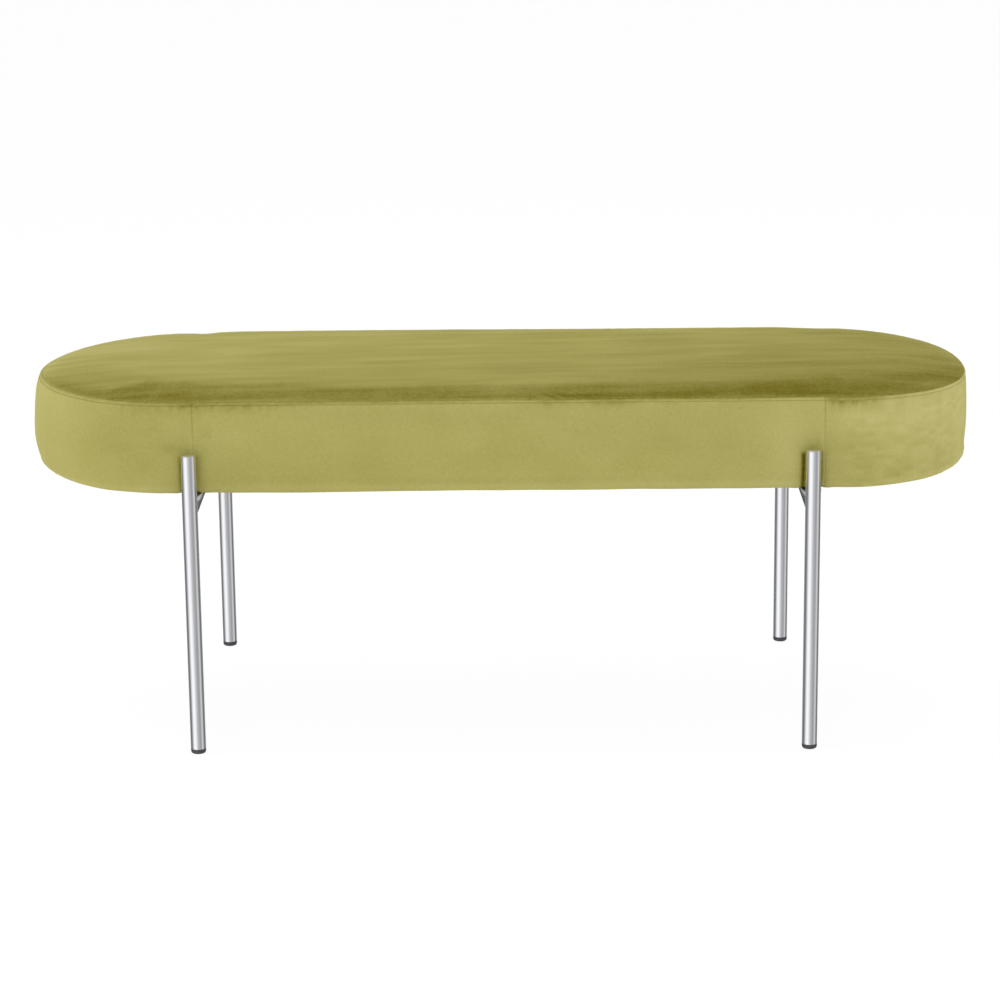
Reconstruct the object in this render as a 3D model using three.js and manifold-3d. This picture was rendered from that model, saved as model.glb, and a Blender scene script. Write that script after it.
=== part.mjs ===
// An upholstered bench, modelled the way it is built.
//
// The seat is one long cushion with blunt round ends. A timber frame carries a foam
// pad, wadding goes round its sides, and a sewn velvet cover is pulled over them and
// turned in underneath, where a dust cover closes it. Two steel leg frames bolt to the
// underside. In each one a tube below the seat joins a front leg to a back leg, and
// both legs rise a little way up the outside of the cushion.
//
// Millimetres, +Z up. X runs along the seat, the front is at -Y, and the origin is on
// the floor under the middle of the bench.

import * as THREE from 'three';
import { mergeVertices } from 'three/addons/utils/BufferGeometryUtils.js';
import Module from 'manifold-3d';

const wasm = await Module();
wasm.setup();

// Seat, measured over the cloth
const seatLength = 1200;
const seatDepth = 434;
const seatHeight = 458;
const seatThickness = 128;
const endReach = 190;
const endPower = 2.2;
const bandBulge = 5;
const crown = 10;
const crownRoll = 110;
const edgeRound = 14;

// Shape of the band's swell: where it is fullest, and how square it is
const swellLeanPower = 0.75;
const swellFullPower = 0.7;

// Cover
const clothThickness = 1.5;
const clothGap = 0.3;
const weltHeight = 5;
const weltProud = 0.8;
const stitchSink = 0.8;
const stitchWidth = 1.2;
const seamPastLeg = 3.5;
const hemBoltMargin = 12;
const dustThickness = 0.8;
const dustHemOverlap = 16;

// Timber frame and filling
const frameSetback = 13;
const baseThickness = 15;
const railHeight = 38;
const railThickness = 22;
const ribThickness = 22;
const bendThickness = 12;
const deckThickness = 9;
const glueLine = 0.1;
const innerRibPairs = 1;

// Leg frames
const tubeDiameter = 19;
const tubeWall = 1.5;
const legRise = 56.5;
const legClearance = 1.5;
const legSetback = 20.5;
const weldGap = 0.3;
const plateThickness = 6;
const plateStemWidth = 25;
const plateHeadDepth = 36;
const plateCornerRadius = 5;
const plateFilletRadius = 6;

// Leg caps and glides, which push into the tubes
const plugClearance = 0.3;
const capThickness = 2;
const capPlugLength = 12;
const capChamfer = 1;
const glideHeight = 6;
const glideFootDiameter = 14.5;
const glideShoulder = 3.2;
const glidePlugLength = 15;
const plugChamfer = 0.8;

// Bolts and pronged nuts
const boltDiameter = 6;
const boltLength = 25;
const boltHeadDiameter = 11;
const boltHeadHeight = 4;
const boltChamfer = 0.8;
const socketAcrossCorners = 4.6;
const socketDepth = 2.5;
const boltHoleClearance = 0.3;
const boltEdgeMargin = 12;
const nutBarrelDiameter = 8;
const nutBarrelLength = 9;
const nutFlangeDiameter = 19;
const nutFlangeThickness = 1.2;
const nutRailMargin = 17.5;
const nutRibMargin = 4.5;

// How far a cutting shape runs past what it cuts
const cutOverrun = 2;

// Facet counts
const endSteps = 20;
const sideSteps = 4;
const tubeSides = 24;
const copeSides = 48;
const boltSides = 12;
const cornerSteps = 2;
const wallSteps = 6;
const edgeSteps = 3;

// Shares of the crown's roll and of the welt's height at which a section has a point
const rollShares = [0, 0.02, 0.08, 0.25, 0.55, 1];
const weltShares = [0.12, 0.35, 0.65, 0.9];

// Sizes that follow from those above
const tubeRadius = tubeDiameter / 2;
const boreRadius = tubeRadius - tubeWall;
const plugRadius = boreRadius - plugClearance;
const boltRadius = boltDiameter / 2;
const boltHoleRadius = boltRadius + boltHoleClearance;
const nutFlangeRadius = nutFlangeDiameter / 2;
const nutHoleRadius = nutBarrelDiameter / 2 + boltHoleClearance;

// Plan of the seam round the top panel
const seamHalfDepth = seatDepth / 2 - bandBulge;
const seamHalfLength = seatLength / 2 - bandBulge;
const straightHalf = seamHalfLength - endReach;

// Heights, from the floor up
const seatBottom = seatHeight - seatThickness;
const hemBottom = seatBottom + dustThickness + clothGap;
const baseBottom = hemBottom + clothThickness + clothGap;
const baseTop = baseBottom + baseThickness;
const railBottom = baseTop + glueLine;
const railTop = railBottom + railHeight;
const deckBottom = railTop + glueLine;
const foamBottom = deckBottom + deckThickness + clothGap;
const seamHeight = seatHeight - crown;
const stitchHeight = seamHeight - weltHeight;
const edgeTop = hemBottom + edgeRound;
const plateBottom = seatBottom - clothGap - plateThickness;
const crossTubeHeight = plateBottom - weldGap - tubeRadius;
const legTop = seatBottom + legRise;

// Places in plan
const legX = straightHalf - legSetback;
const legY = seatDepth / 2 + legClearance + tubeRadius;
const bandSeamX = legX + seamPastLeg;
const railOuterY = seamHalfDepth - frameSetback;
const railInnerY = railOuterY - railThickness;
const boltY = railInnerY - nutRailMargin - nutFlangeRadius;
const boltOffsetX = ribThickness / 2 + nutRibMargin + nutFlangeRadius;
const plateOuterY = legY - tubeRadius - weldGap;
const plateStemLength = plateOuterY - boltY - plateHeadDepth / 2;
const plateHeadHalfWidth = boltOffsetX + boltEdgeMargin;
const hemInset = seamHalfDepth - boltY - boltHoleRadius - hemBoltMargin;
const dustInset = hemInset - dustHemOverlap;

// Materials

function finish(color, roughness, metalness) {
  return new THREE.MeshStandardMaterial({ color, roughness, metalness });
}

const velvet = () => finish('#a9a25d', 0.9, 0);
const steel = () => finish('#c9cacd', 0.22, 1);
const zinc = () => finish('#b4b6b8', 0.4, 1);
const glidePlastic = () => finish('#3d3c41', 0.6, 0);
const plywood = () => finish('#c9a877', 0.7, 0);
const pine = () => finish('#d8bd8b', 0.75, 0);
const foam = () => finish('#efe9d2', 0.95, 0);
const wadding = () => finish('#f3f2ee', 1, 0);
const dustCloth = () => finish('#26262a', 0.95, 0);

// Scene helpers

const bench = new THREE.Group();

function addPart(name, geometry, material, x = 0, y = 0, z = 0) {
  const mesh = new THREE.Mesh(geometry, material);
  mesh.name = name;
  mesh.position.set(x, y, z);
  bench.add(mesh);
  return mesh;
}

function meshGeometry(positions, faces) {
  const geometry = new THREE.BufferGeometry();
  geometry.setAttribute('position', new THREE.Float32BufferAttribute(positions, 3));
  geometry.setIndex(faces);
  geometry.computeVertexNormals();
  return geometry;
}

// A solid turned round Z from a profile of [radius, height] points
function turned(profile, sides) {
  const points = profile.map(([radius, height]) => new THREE.Vector2(radius, height));
  return new THREE.LatheGeometry(points, sides).rotateX(Math.PI / 2);
}

// A closed tube wall round Z, from height 0 up to its length
function tubeGeometry(length) {
  const profile = [
    [boreRadius, 0],
    [tubeRadius, 0],
    [tubeRadius, length],
    [boreRadius, length],
    [boreRadius, 0],
  ];
  return turned(profile, tubeSides);
}

function flatPlate(shape, thickness) {
  return new THREE.ExtrudeGeometry(shape, {
    depth: thickness,
    bevelEnabled: false,
    curveSegments: cornerSteps,
  });
}

function addRoundHole(shape, x, y, radius) {
  const points = [];
  for (let side = 0; side < boltSides; side += 1) {
    const angle = 2 * Math.PI * side / boltSides;
    points.push(new THREE.Vector2(x + radius * Math.cos(angle), y + radius * Math.sin(angle)));
  }
  shape.holes.push(new THREE.Path(points));
}

// Joining and cutting

function toSolid(geometry) {
  const bare = geometry.clone();
  bare.deleteAttribute('normal');
  bare.deleteAttribute('uv');
  const merged = mergeVertices(bare);
  return new wasm.Manifold(new wasm.Mesh({
    numProp: 3,
    vertProperties: new Float32Array(merged.attributes.position.array),
    triVerts: new Uint32Array(merged.index.array),
  }));
}

function cutAway(geometry, tools) {
  const result = tools.reduce((solid, tool) => solid.subtract(toSolid(tool)), toSolid(geometry));
  const mesh = result.getMesh();
  return meshGeometry(Array.from(mesh.vertProperties), Array.from(mesh.triVerts));
}

// Plan outline of the seat

// One point of the blunt round end on the +X side, at an angle from -90 degrees at the
// front to 90 degrees at the back, with the outward direction there
function endPoint(angle) {
  const across = Math.abs(Math.cos(angle)) ** (2 / endPower);
  const along = Math.abs(Math.sin(angle)) ** (2 / endPower);
  const side = Math.sign(angle);
  const normal = new THREE.Vector2(
    across ** (endPower - 1) / endReach,
    side * along ** (endPower - 1) / seamHalfDepth,
  ).normalize();
  return {
    x: straightHalf + endReach * across,
    y: side * seamHalfDepth * along,
    nx: normal.x,
    ny: normal.y,
  };
}

// The straight front side from one X to another
function frontSide(fromX, toX, steps) {
  const points = [];
  for (let step = 0; step <= steps; step += 1) {
    const x = fromX + (toX - fromX) * step / steps;
    points.push({ x, y: -seamHalfDepth, nx: 0, ny: -1 });
  }
  return points;
}

function rightEnd() {
  const points = [];
  for (let step = 0; step <= endSteps; step += 1) {
    points.push(endPoint(Math.PI * (step / endSteps - 1 / 2)));
  }
  return points;
}

// The same run of points on the other side of the seat
function halfTurn(points) {
  return points.map(({ x, y, nx, ny }) => ({ x: -x, y: -y, nx: -nx, ny: -ny }));
}

// The whole outline, once round anticlockwise
function seatOutline() {
  const half = [
    ...frontSide(-straightHalf, straightHalf, sideSteps).slice(1, -1),
    ...rightEnd(),
  ];
  return [...half, ...halfTurn(half)];
}

// The path of one end panel of the band, which runs onto the straight sides
function endBandPath() {
  const start = frontSide(bandSeamX + clothGap / 2, straightHalf, 1).slice(0, 1);
  const finish = start.map(({ x, y, nx, ny }) => ({ x, y: -y, nx, ny: -ny }));
  return [...start, ...rightEnd(), ...finish];
}

function outlineShape(outset) {
  const points = seatOutline().map((point) => new THREE.Vector2(
    point.x + outset * point.nx,
    point.y + outset * point.ny,
  ));
  return new THREE.Shape(points);
}

// Surfaces built on the outline

// The two triangles of one quad, for faces that go round corners a, b, c and d
function quad(faces, a, b, c, d) {
  faces.push(a, b, c, a, c, d);
}

function capFaces(contour, first, reversed) {
  const faces = [];
  for (const [a, b, c] of THREE.ShapeUtils.triangulateShape(contour, [])) {
    faces.push(first + a, first + (reversed ? c : b), first + (reversed ? b : c));
  }
  return faces;
}

// Sweeps a section of [outward, height] points, given anticlockwise, along a path. A
// closed path makes a ring, and an open one is closed by a flat face at each end.
function sweep(path, section, closed) {
  const positions = [];
  const faces = [];
  for (const { x, y, nx, ny } of path) {
    for (const [outward, height] of section) {
      positions.push(x + outward * nx, y + outward * ny, height);
    }
  }
  const count = section.length;
  const spans = closed ? path.length : path.length - 1;
  for (let span = 0; span < spans; span += 1) {
    const here = span * count;
    const next = ((span + 1) % path.length) * count;
    for (let index = 0; index < count; index += 1) {
      const after = (index + 1) % count;
      quad(faces, here + after, here + index, next + index, next + after);
    }
  }
  if (!closed) {
    const contour = section.map(([outward, height]) => new THREE.Vector2(outward, height));
    faces.push(...capFaces(contour, 0, false));
    faces.push(...capFaces(contour, spans * count, true));
  }
  return meshGeometry(positions, faces);
}

// Joins rings of the seat's outline, each given as [inset, height]. They start at the
// edge of the flat underside and end at the edge of the flat top.
function loftRings(rings) {
  const outline = seatOutline();
  const positions = [];
  const faces = [];
  for (const [inset, height] of rings) {
    for (const { x, y, nx, ny } of outline) {
      positions.push(x - inset * nx, y - inset * ny, height);
    }
  }
  const count = outline.length;
  for (let ring = 0; ring < rings.length - 1; ring += 1) {
    for (let index = 0; index < count; index += 1) {
      const here = ring * count + index;
      const after = ring * count + (index + 1) % count;
      quad(faces, here, after, after + count, here + count);
    }
  }
  const lastRing = rings.length - 1;
  faces.push(...capFaces(outlineShape(-rings[0][0]).getPoints(), 0, true));
  faces.push(...capFaces(outlineShape(-rings[lastRing][0]).getPoints(), lastRing * count, false));
  return meshGeometry(positions, faces);
}

// Cushion profile

// Height of the top panel's outside at a distance in from the seam
function crownHeight(inset) {
  const share = Math.min(inset / crownRoll, 1);
  return seamHeight + crown * Math.sqrt(1 - (1 - share) ** 2);
}

// How far the band's outside stands out from the seam at a height
function swell(height) {
  const share = (seamHeight - height) / (seamHeight - hemBottom);
  return bandBulge * Math.sin(Math.PI * share ** swellLeanPower) ** swellFullPower;
}

// The band's outside, or a surface that runs further in, from a height near its top down
// and round the given number of steps of its lower edge
function bandWall(top, inward, turnSteps) {
  const points = [];
  for (let step = 0; step <= wallSteps; step += 1) {
    const height = top - (top - edgeTop) * step / wallSteps;
    points.push([swell(height) - inward, height]);
  }
  const centre = swell(edgeTop) - edgeRound;
  const radius = edgeRound - inward;
  for (let step = 1; step <= turnSteps; step += 1) {
    const angle = Math.PI / 2 * step / edgeSteps;
    points.push([centre + radius * Math.cos(angle), edgeTop - radius * Math.sin(angle)]);
  }
  return points;
}

// The ridge along the top of the band, where the seam allowance lies under the cloth
function weltPoints() {
  return weltShares.map((share) => {
    const height = seamHeight - share * weltHeight;
    return [swell(height) + weltProud * Math.sqrt(Math.sin(Math.PI * share)), height];
  });
}

// Section of the band, anticlockwise: down the inside, in along the hem, back under it
// and up the outside to the seam
function bandSection() {
  const inside = bandWall(stitchHeight, clothThickness, edgeSteps);
  const outside = bandWall(stitchHeight - stitchWidth, 0, edgeSteps).reverse();
  return [
    [0, seamHeight],
    [0, seamHeight - clothThickness - clothGap],
    ...inside,
    [-hemInset, hemBottom + clothThickness],
    [-hemInset, hemBottom],
    ...outside,
    [swell(stitchHeight) - stitchSink, stitchHeight],
    ...weltPoints().reverse(),
  ];
}

// Cover

function topPanel() {
  const insets = rollShares.map((share) => Math.max(share * crownRoll, clothGap));
  const outside = insets.map((inset) => [inset, crownHeight(inset)]);
  const inside = outside.map(([inset, height]) => [inset, height - clothThickness]).reverse();
  addPart('top_panel', loftRings([...inside, ...outside]), velvet());
}

function bandPanels() {
  const section = bandSection();
  const reach = bandSeamX - clothGap / 2;
  const front = frontSide(-reach, reach, sideSteps);
  const end = endBandPath();
  addPart('front_band', sweep(front, section, false), velvet());
  addPart('back_band', sweep(halfTurn(front), section, false), velvet());
  addPart('right_end_band', sweep(end, section, false), velvet());
  addPart('left_end_band', sweep(halfTurn(end), section, false), velvet());
}

function dustCover() {
  const shape = outlineShape(-dustInset);
  for (const { x, y } of boltPlaces()) {
    addRoundHole(shape, x, y, boltHoleRadius);
  }
  addPart('dust_cover', flatPlate(shape, dustThickness), dustCloth(), 0, 0, seatBottom);
}

// Filling

function foamPad() {
  const insets = rollShares.map((share) => share * crownRoll).filter((inset) => inset > frameSetback);
  const under = clothThickness + clothGap;
  const rings = [frameSetback, ...insets].map((inset) => [inset, crownHeight(inset) - under]);
  addPart('foam_pad', loftRings([[frameSetback, foamBottom], ...rings]), foam());
}

function sideWadding() {
  const under = clothThickness + clothGap;
  const innerInset = frameSetback - clothGap;
  const insets = rollShares.map((share) => share * crownRoll);
  const overEdge = insets.filter((inset) => inset > 0 && inset < innerInset);
  const outside = bandWall(stitchHeight, under, edgeSteps - 1).reverse();
  const section = [
    [-innerInset, outside[0][1]],
    ...outside,
    ...[...overEdge, innerInset].map((inset) => [-inset, crownHeight(inset) - under]),
  ];
  addPart('side_wadding', sweep(seatOutline(), section, true), wadding());
}

// Timber frame

function boards() {
  const base = outlineShape(-frameSetback);
  for (const { x, y } of boltPlaces()) {
    addRoundHole(base, x, y, nutHoleRadius);
  }
  const deck = outlineShape(-frameSetback);
  addPart('base_board', flatPlate(base, baseThickness), plywood(), 0, 0, baseBottom);
  addPart('deck_board', flatPlate(deck, deckThickness), plywood(), 0, 0, deckBottom);
}

function rails() {
  const length = 2 * (straightHalf - glueLine);
  const height = railBottom + railHeight / 2;
  const y = railOuterY - railThickness / 2;
  for (const [name, side] of [['front_rail', -1], ['back_rail', 1]]) {
    const geometry = new THREE.BoxGeometry(length, railThickness, railHeight);
    addPart(name, geometry, pine(), 0, side * y, height);
  }
}

function ribs() {
  const length = 2 * (railInnerY - glueLine);
  const height = railBottom + railHeight / 2;
  const count = 3 + 2 * innerRibPairs;
  for (let index = 0; index < count; index += 1) {
    const x = legX * (2 * index / (count - 1) - 1);
    const geometry = new THREE.BoxGeometry(ribThickness, length, railHeight);
    addPart(`cross_rib_${index + 1}`, geometry, pine(), x, 0, height);
  }
}

// Bent strips that carry the frame round the ends
function endBends() {
  const outer = -frameSetback;
  const inner = outer - bendThickness;
  const section = [
    [inner, railTop],
    [inner, railBottom],
    [outer, railBottom],
    [outer, railTop],
  ];
  addPart('right_end_bend', sweep(rightEnd(), section, false), plywood());
  addPart('left_end_bend', sweep(halfTurn(rightEnd()), section, false), plywood());
}

// Leg frames

const sides = [['left', -1], ['right', 1]];
const rows = [['front', -1], ['back', 1]];

function corners() {
  return rows.flatMap(([row, rowSign]) => sides.map(([side, sideSign]) => ({
    name: `${row}_${side}`,
    x: sideSign * legX,
    rowSign,
    sideSign,
  })));
}

function boltPlaces() {
  return corners().flatMap(({ name, x, rowSign, sideSign }) => [
    { name: `${name}_outer`, x: x + sideSign * boltOffsetX, y: rowSign * boltY },
    { name: `${name}_inner`, x: x - sideSign * boltOffsetX, y: rowSign * boltY },
  ]);
}

function legs() {
  const top = legTop - capThickness;
  for (const { name, x, rowSign } of corners()) {
    addPart(`${name}_leg`, tubeGeometry(top - glideHeight), steel(), x, rowSign * legY, glideHeight);
    addPart(`${name}_cap`, capGeometry(), steel(), x, rowSign * legY, top);
    addPart(`${name}_glide`, glideGeometry(), glidePlastic(), x, rowSign * legY, 0);
  }
}

// A plug that closes the top of a leg, with its rim flush with the tube
function capGeometry() {
  return turned([
    [0, -capPlugLength],
    [plugRadius - plugChamfer, -capPlugLength],
    [plugRadius, plugChamfer - capPlugLength],
    [plugRadius, 0],
    [tubeRadius, 0],
    [tubeRadius, capThickness - capChamfer],
    [tubeRadius - capChamfer, capThickness],
    [0, capThickness],
  ], tubeSides);
}

// A glide with a flat foot, a rounded flank and a plug that goes up the leg
function glideGeometry() {
  const top = glideHeight + glidePlugLength;
  const foot = glideFootDiameter / 2;
  const flank = [1 / 3, 2 / 3].map((turn) => [
    foot + (tubeRadius - foot) * Math.sin(turn * Math.PI / 2),
    glideShoulder * (1 - Math.cos(turn * Math.PI / 2)),
  ]);
  return turned([
    [0, 0],
    [foot, 0],
    ...flank,
    [tubeRadius, glideShoulder],
    [tubeRadius, glideHeight],
    [plugRadius, glideHeight],
    [plugRadius, top - plugChamfer],
    [plugRadius - plugChamfer, top],
    [0, top],
  ], tubeSides);
}

// The tube under the seat, its ends coped to fit round the legs
function crossTubes() {
  const blank = tubeGeometry(2 * legY).rotateX(Math.PI / 2).translate(0, legY, 0);
  const height = tubeDiameter + cutOverrun;
  const tools = rows.map(([, rowSign]) => new THREE.CylinderGeometry(
    tubeRadius + weldGap,
    tubeRadius + weldGap,
    height,
    copeSides,
  ).rotateX(Math.PI / 2).translate(0, rowSign * legY, 0));
  for (const [side, sideSign] of sides) {
    addPart(`${side}_cross_tube`, cutAway(blank, tools), steel(), sideSign * legX, 0, crossTubeHeight);
  }
}

// A T-shaped plate: its stem lies on the tube behind the leg, and its head takes the bolts
function plateShape() {
  const stem = plateStemWidth / 2;
  const head = plateHeadHalfWidth;
  const neck = plateStemLength;
  const end = plateStemLength + plateHeadDepth;
  const round = plateCornerRadius;
  const fillet = plateFilletRadius;
  const quarter = Math.PI / 2;
  const shape = new THREE.Shape();
  shape.moveTo(-stem, 0);
  shape.lineTo(stem, 0);
  shape.absarc(stem + fillet, neck - fillet, fillet, 2 * quarter, quarter, true);
  shape.absarc(head - round, neck + round, round, -quarter, 0, false);
  shape.absarc(head - round, end - round, round, 0, quarter, false);
  shape.absarc(round - head, end - round, round, quarter, 2 * quarter, false);
  shape.absarc(round - head, neck + round, round, 2 * quarter, 3 * quarter, false);
  shape.absarc(-stem - fillet, neck - fillet, fillet, quarter, 0, true);
  for (const side of [-1, 1]) {
    addRoundHole(shape, side * boltOffsetX, neck + plateHeadDepth / 2, boltHoleRadius);
  }
  return shape;
}

function plates() {
  for (const { name, x, rowSign } of corners()) {
    const geometry = flatPlate(plateShape(), plateThickness);
    const plate = addPart(`${name}_plate`, geometry, steel(), x, rowSign * plateOuterY, plateBottom);
    plate.rotation.z = rowSign > 0 ? Math.PI : 0;
  }
}

function boltGeometry() {
  const headRadius = boltHeadDiameter / 2;
  const blank = turned([
    [0, -boltHeadHeight],
    [headRadius - boltChamfer, -boltHeadHeight],
    [headRadius, boltChamfer - boltHeadHeight],
    [headRadius, 0],
    [boltRadius, 0],
    [boltRadius, boltLength - boltChamfer],
    [boltRadius - boltChamfer, boltLength],
    [0, boltLength],
  ], boltSides);
  const corner = socketAcrossCorners / 2;
  const socket = new THREE.CylinderGeometry(corner, corner, 2 * socketDepth, 6);
  return cutAway(blank, [socket.rotateX(Math.PI / 2).translate(0, 0, -boltHeadHeight)]);
}

function nutGeometry() {
  return turned([
    [boltHoleRadius, -nutBarrelLength],
    [nutBarrelDiameter / 2, -nutBarrelLength],
    [nutBarrelDiameter / 2, 0],
    [nutFlangeRadius, 0],
    [nutFlangeRadius, nutFlangeThickness],
    [boltHoleRadius, nutFlangeThickness],
    [boltHoleRadius, -nutBarrelLength],
  ], boltSides);
}

function fasteners() {
  for (const { name, x, y } of boltPlaces()) {
    addPart(`${name}_bolt`, boltGeometry(), zinc(), x, y, plateBottom);
    addPart(`${name}_nut`, nutGeometry(), zinc(), x, y, railBottom);
  }
}

topPanel();
bandPanels();
foamPad();
sideWadding();
boards();
rails();
ribs();
endBends();
dustCover();
legs();
crossTubes();
plates();
fasteners();

export default bench;
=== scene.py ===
# The looks of an upholstered bench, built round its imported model.
#
# Metres, +Z up, with the front at -Y. The cover and its thread, the filling, the leg frames
# with their bolts and welds, and the dust cover with its staples are made here. The timber
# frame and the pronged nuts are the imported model's.

import math

import bmesh
import bpy
import numpy as np
from mathutils import Matrix, Vector
from mathutils.kdtree import KDTree


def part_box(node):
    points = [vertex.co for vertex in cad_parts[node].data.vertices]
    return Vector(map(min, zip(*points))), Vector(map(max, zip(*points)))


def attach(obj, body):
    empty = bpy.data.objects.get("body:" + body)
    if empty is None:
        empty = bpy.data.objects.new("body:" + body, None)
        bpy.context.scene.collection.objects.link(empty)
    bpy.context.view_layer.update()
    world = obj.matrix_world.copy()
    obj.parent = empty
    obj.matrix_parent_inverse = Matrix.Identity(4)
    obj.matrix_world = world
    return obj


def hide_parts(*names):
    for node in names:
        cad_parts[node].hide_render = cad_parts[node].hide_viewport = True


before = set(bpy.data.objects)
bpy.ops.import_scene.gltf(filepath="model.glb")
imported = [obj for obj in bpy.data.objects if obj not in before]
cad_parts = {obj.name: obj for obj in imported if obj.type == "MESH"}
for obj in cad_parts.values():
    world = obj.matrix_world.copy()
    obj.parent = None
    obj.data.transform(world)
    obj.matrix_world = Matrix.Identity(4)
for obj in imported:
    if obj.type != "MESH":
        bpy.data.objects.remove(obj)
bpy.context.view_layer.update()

BODY = "root"
MM = 0.001

# Cloth and seams
CLOTH = 1.5 * MM
CLOTH_GAP = 0.3 * MM
FILLING_INSET = CLOTH + CLOTH_GAP + 0.4 * MM
FOAM_EDGE_DROP = 1.5 * MM
CROWN = 10 * MM
CROWN_ROLL = 110 * MM
BULGE = 5 * MM
EDGE_ROUND = 14 * MM
SWELL_LEAN_POWER = 0.75
SWELL_FULL_POWER = 0.7
RIDGE_HEIGHT = 3.8 * MM
RIDGE_PROUD = 0.55 * MM
CREASE_DEPTH = 0.5 * MM
CREASE_WIDTH = 0.8 * MM
STITCH_SINK = 0.4 * MM
SEAM_OPENING = 0.01 * MM
STITCH_PITCH = 4 * MM
STITCH_LENGTH = 3.1 * MM
THREAD = 0.75 * MM
DUST_CLOTH = 0.8 * MM

# The cushion as it was sewn and pulled on by hand: a rounder and fuller left end, a right
# end that sags and tucks in below, and a band that sits a little twisted round the seat
LEFT_REACH = 186 * MM
RIGHT_REACH = 190.3 * MM
LEFT_POWER = 1.97
RIGHT_POWER = 2.24
LEFT_FULLER = 6.9 * MM
RIGHT_FULLER = -0.8 * MM
LEFT_LOW_FULLER = 4.1 * MM
RIGHT_TUCK = 0.5 * MM
LEFT_TWIST = 8.5 * MM
RIGHT_TWIST = 11.5 * MM
LEFT_SHIFT = -2.4 * MM
LEFT_DROP = 3.5 * MM
RIGHT_SAG = 4.9 * MM
LEFT_SAG = 0.6 * MM
LEFT_SAG_RANGE = (-0.05, 0.1)
EDGE_SAG = 1.8 * MM

# The seam's rise along the back: where it starts and ends, and the share that it loses
# over a range about the middle, all the way to the right
BACK_LIFT = 1.4 * MM
BACK_LIFT_START = (-0.404, -0.38)
BACK_LIFT_END = (0.36, 0.44)
BACK_LIFT_LOSS = 0.6
BACK_LIFT_LOSS_RANGE = (-0.15, 0.15)

# Dips of the seam at the back and the front: place, half width and share of the full depth
BACK_DIP = 1.6 * MM
BACK_DIPS = ((-0.4, 30 * MM, 1.0), (0.42, 30 * MM, 0.6))
SEAM_DIP = 1.8 * MM
SEAM_DIPS = ((-0.381, 8 * MM, 1.0), (0.43, 22 * MM, 0.5))
SEAM_DIP_HEIGHT = 9 * MM

# The cloth simulation starts from a slacker cushion and swells it. The tight round ends
# hardly swell, so they start nearly full.
SLACK_CROWN = 6 * MM
SLACK_BULGE = 1.5 * MM
SLACK_END_SHARE = 0.85
SWELL_CAP = 4.3 * MM
SWELL_NEIGHBOURS = 6
SWELL_BLUR = 3 * MM
CORE_VOXEL = 8 * MM
SIM_FRAMES = 20
HELD_GROUP = "hold"
SIM_SETTINGS = {
    "quality": 5,
    "mass": 0.3,
    "tension_stiffness": 15,
    "compression_stiffness": 15,
    "shear_stiffness": 5,
    "bending_stiffness": 0.5,
    "use_pressure": True,
    "uniform_pressure_force": 4.0,
    "vertex_group_mass": HELD_GROUP,
}

# What is held meanwhile: all within reach of the seam, fading past it, the hem, and less
# firmly the upright seams, on the sides that lie further out than the depth given
HELD_REACH = 5 * MM
HELD_FADE = 4 * MM
HELD_HEM = 4 * MM
UPRIGHT_HELD = 0.3
UPRIGHT_DEPTH = 0.19

# Spacing of points round the band, the top and what lies under it, the simulated core, and
# the line of the staples
BAND_PITCH = 2 * MM
TOP_PITCH = 4 * MM
CORE_PITCH = 6 * MM
STAPLE_LINE_PITCH = 5 * MM

# Steps after which noise repeats, across a surface, and along it where no period is given
LATTICE_ROWS = 64
LATTICE_COLUMNS = 256

# Steel
TUBE_WALL = 1.5 * MM
EDGE_BREAK = 0.35 * MM
CAP_THICKNESS = 2 * MM
CAP_PLUG = 12 * MM
CAP_CHAMFER = 1 * MM
PLUG_CLEARANCE = 0.3 * MM
GLIDE_PLUG = 15 * MM
GLIDE_SHOULDER = 3.2 * MM
GLIDE_FOOT = 7.25 * MM
WELD_GAP = 0.3 * MM
TUBE_SIDES = 72
LOOP_SIDES = 48

# Camera, fitted to the feet, the legs and the seam in the photograph
CAMERA_PLACE = (0.0263, -3.9987, 1.3139)
CAMERA_YAW = -0.00736
CAMERA_PITCH = 0.25642
CAMERA_ROLL = -0.01057
FOCAL_PIXELS = 3160.5
IMAGE_PIXELS = 1000
SENSOR_MM = 36
CAMERA_REACH = 200

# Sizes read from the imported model
TOP_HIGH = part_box("top_panel")[1]
BAND_LOW, BAND_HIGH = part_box("front_band")
LEG_LOW, LEG_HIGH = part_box("front_right_leg")
DUST_LOW, DUST_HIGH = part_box("dust_cover")
END_REACH = 190 * MM
SEAM_HALF_LENGTH = TOP_HIGH.x + CLOTH_GAP
SEAM_HALF_DEPTH = TOP_HIGH.y + CLOTH_GAP
SEAM_HEIGHT = TOP_HIGH.z - CROWN
HEM_BOTTOM = BAND_LOW.z
EDGE_TOP = HEM_BOTTOM + EDGE_ROUND
HEM_INSET = SEAM_HALF_DEPTH + BAND_HIGH.y
DUST_INSET = SEAM_HALF_LENGTH - DUST_HIGH.x
FRAME_SETBACK = SEAM_HALF_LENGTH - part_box("base_board")[1].x
BAND_SEAM_X = BAND_HIGH.x + CLOTH_GAP / 2
STRAIGHT_HALF = SEAM_HALF_LENGTH - END_REACH
FOAM_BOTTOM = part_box("foam_pad")[0].z
LEG_X = (LEG_LOW.x + LEG_HIGH.x) / 2
LEG_Y = -(LEG_LOW.y + LEG_HIGH.y) / 2
TUBE_RADIUS = (LEG_HIGH.x - LEG_LOW.x) / 2
BORE_RADIUS = TUBE_RADIUS - TUBE_WALL
PLUG_RADIUS = BORE_RADIUS - PLUG_CLEARANCE
CROSS_HEIGHT = (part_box("left_cross_tube")[0].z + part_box("left_cross_tube")[1].z) / 2

ROWS = (("front", -1), ("back", 1))
SIDES = (("left", -1), ("right", 1))


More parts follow.
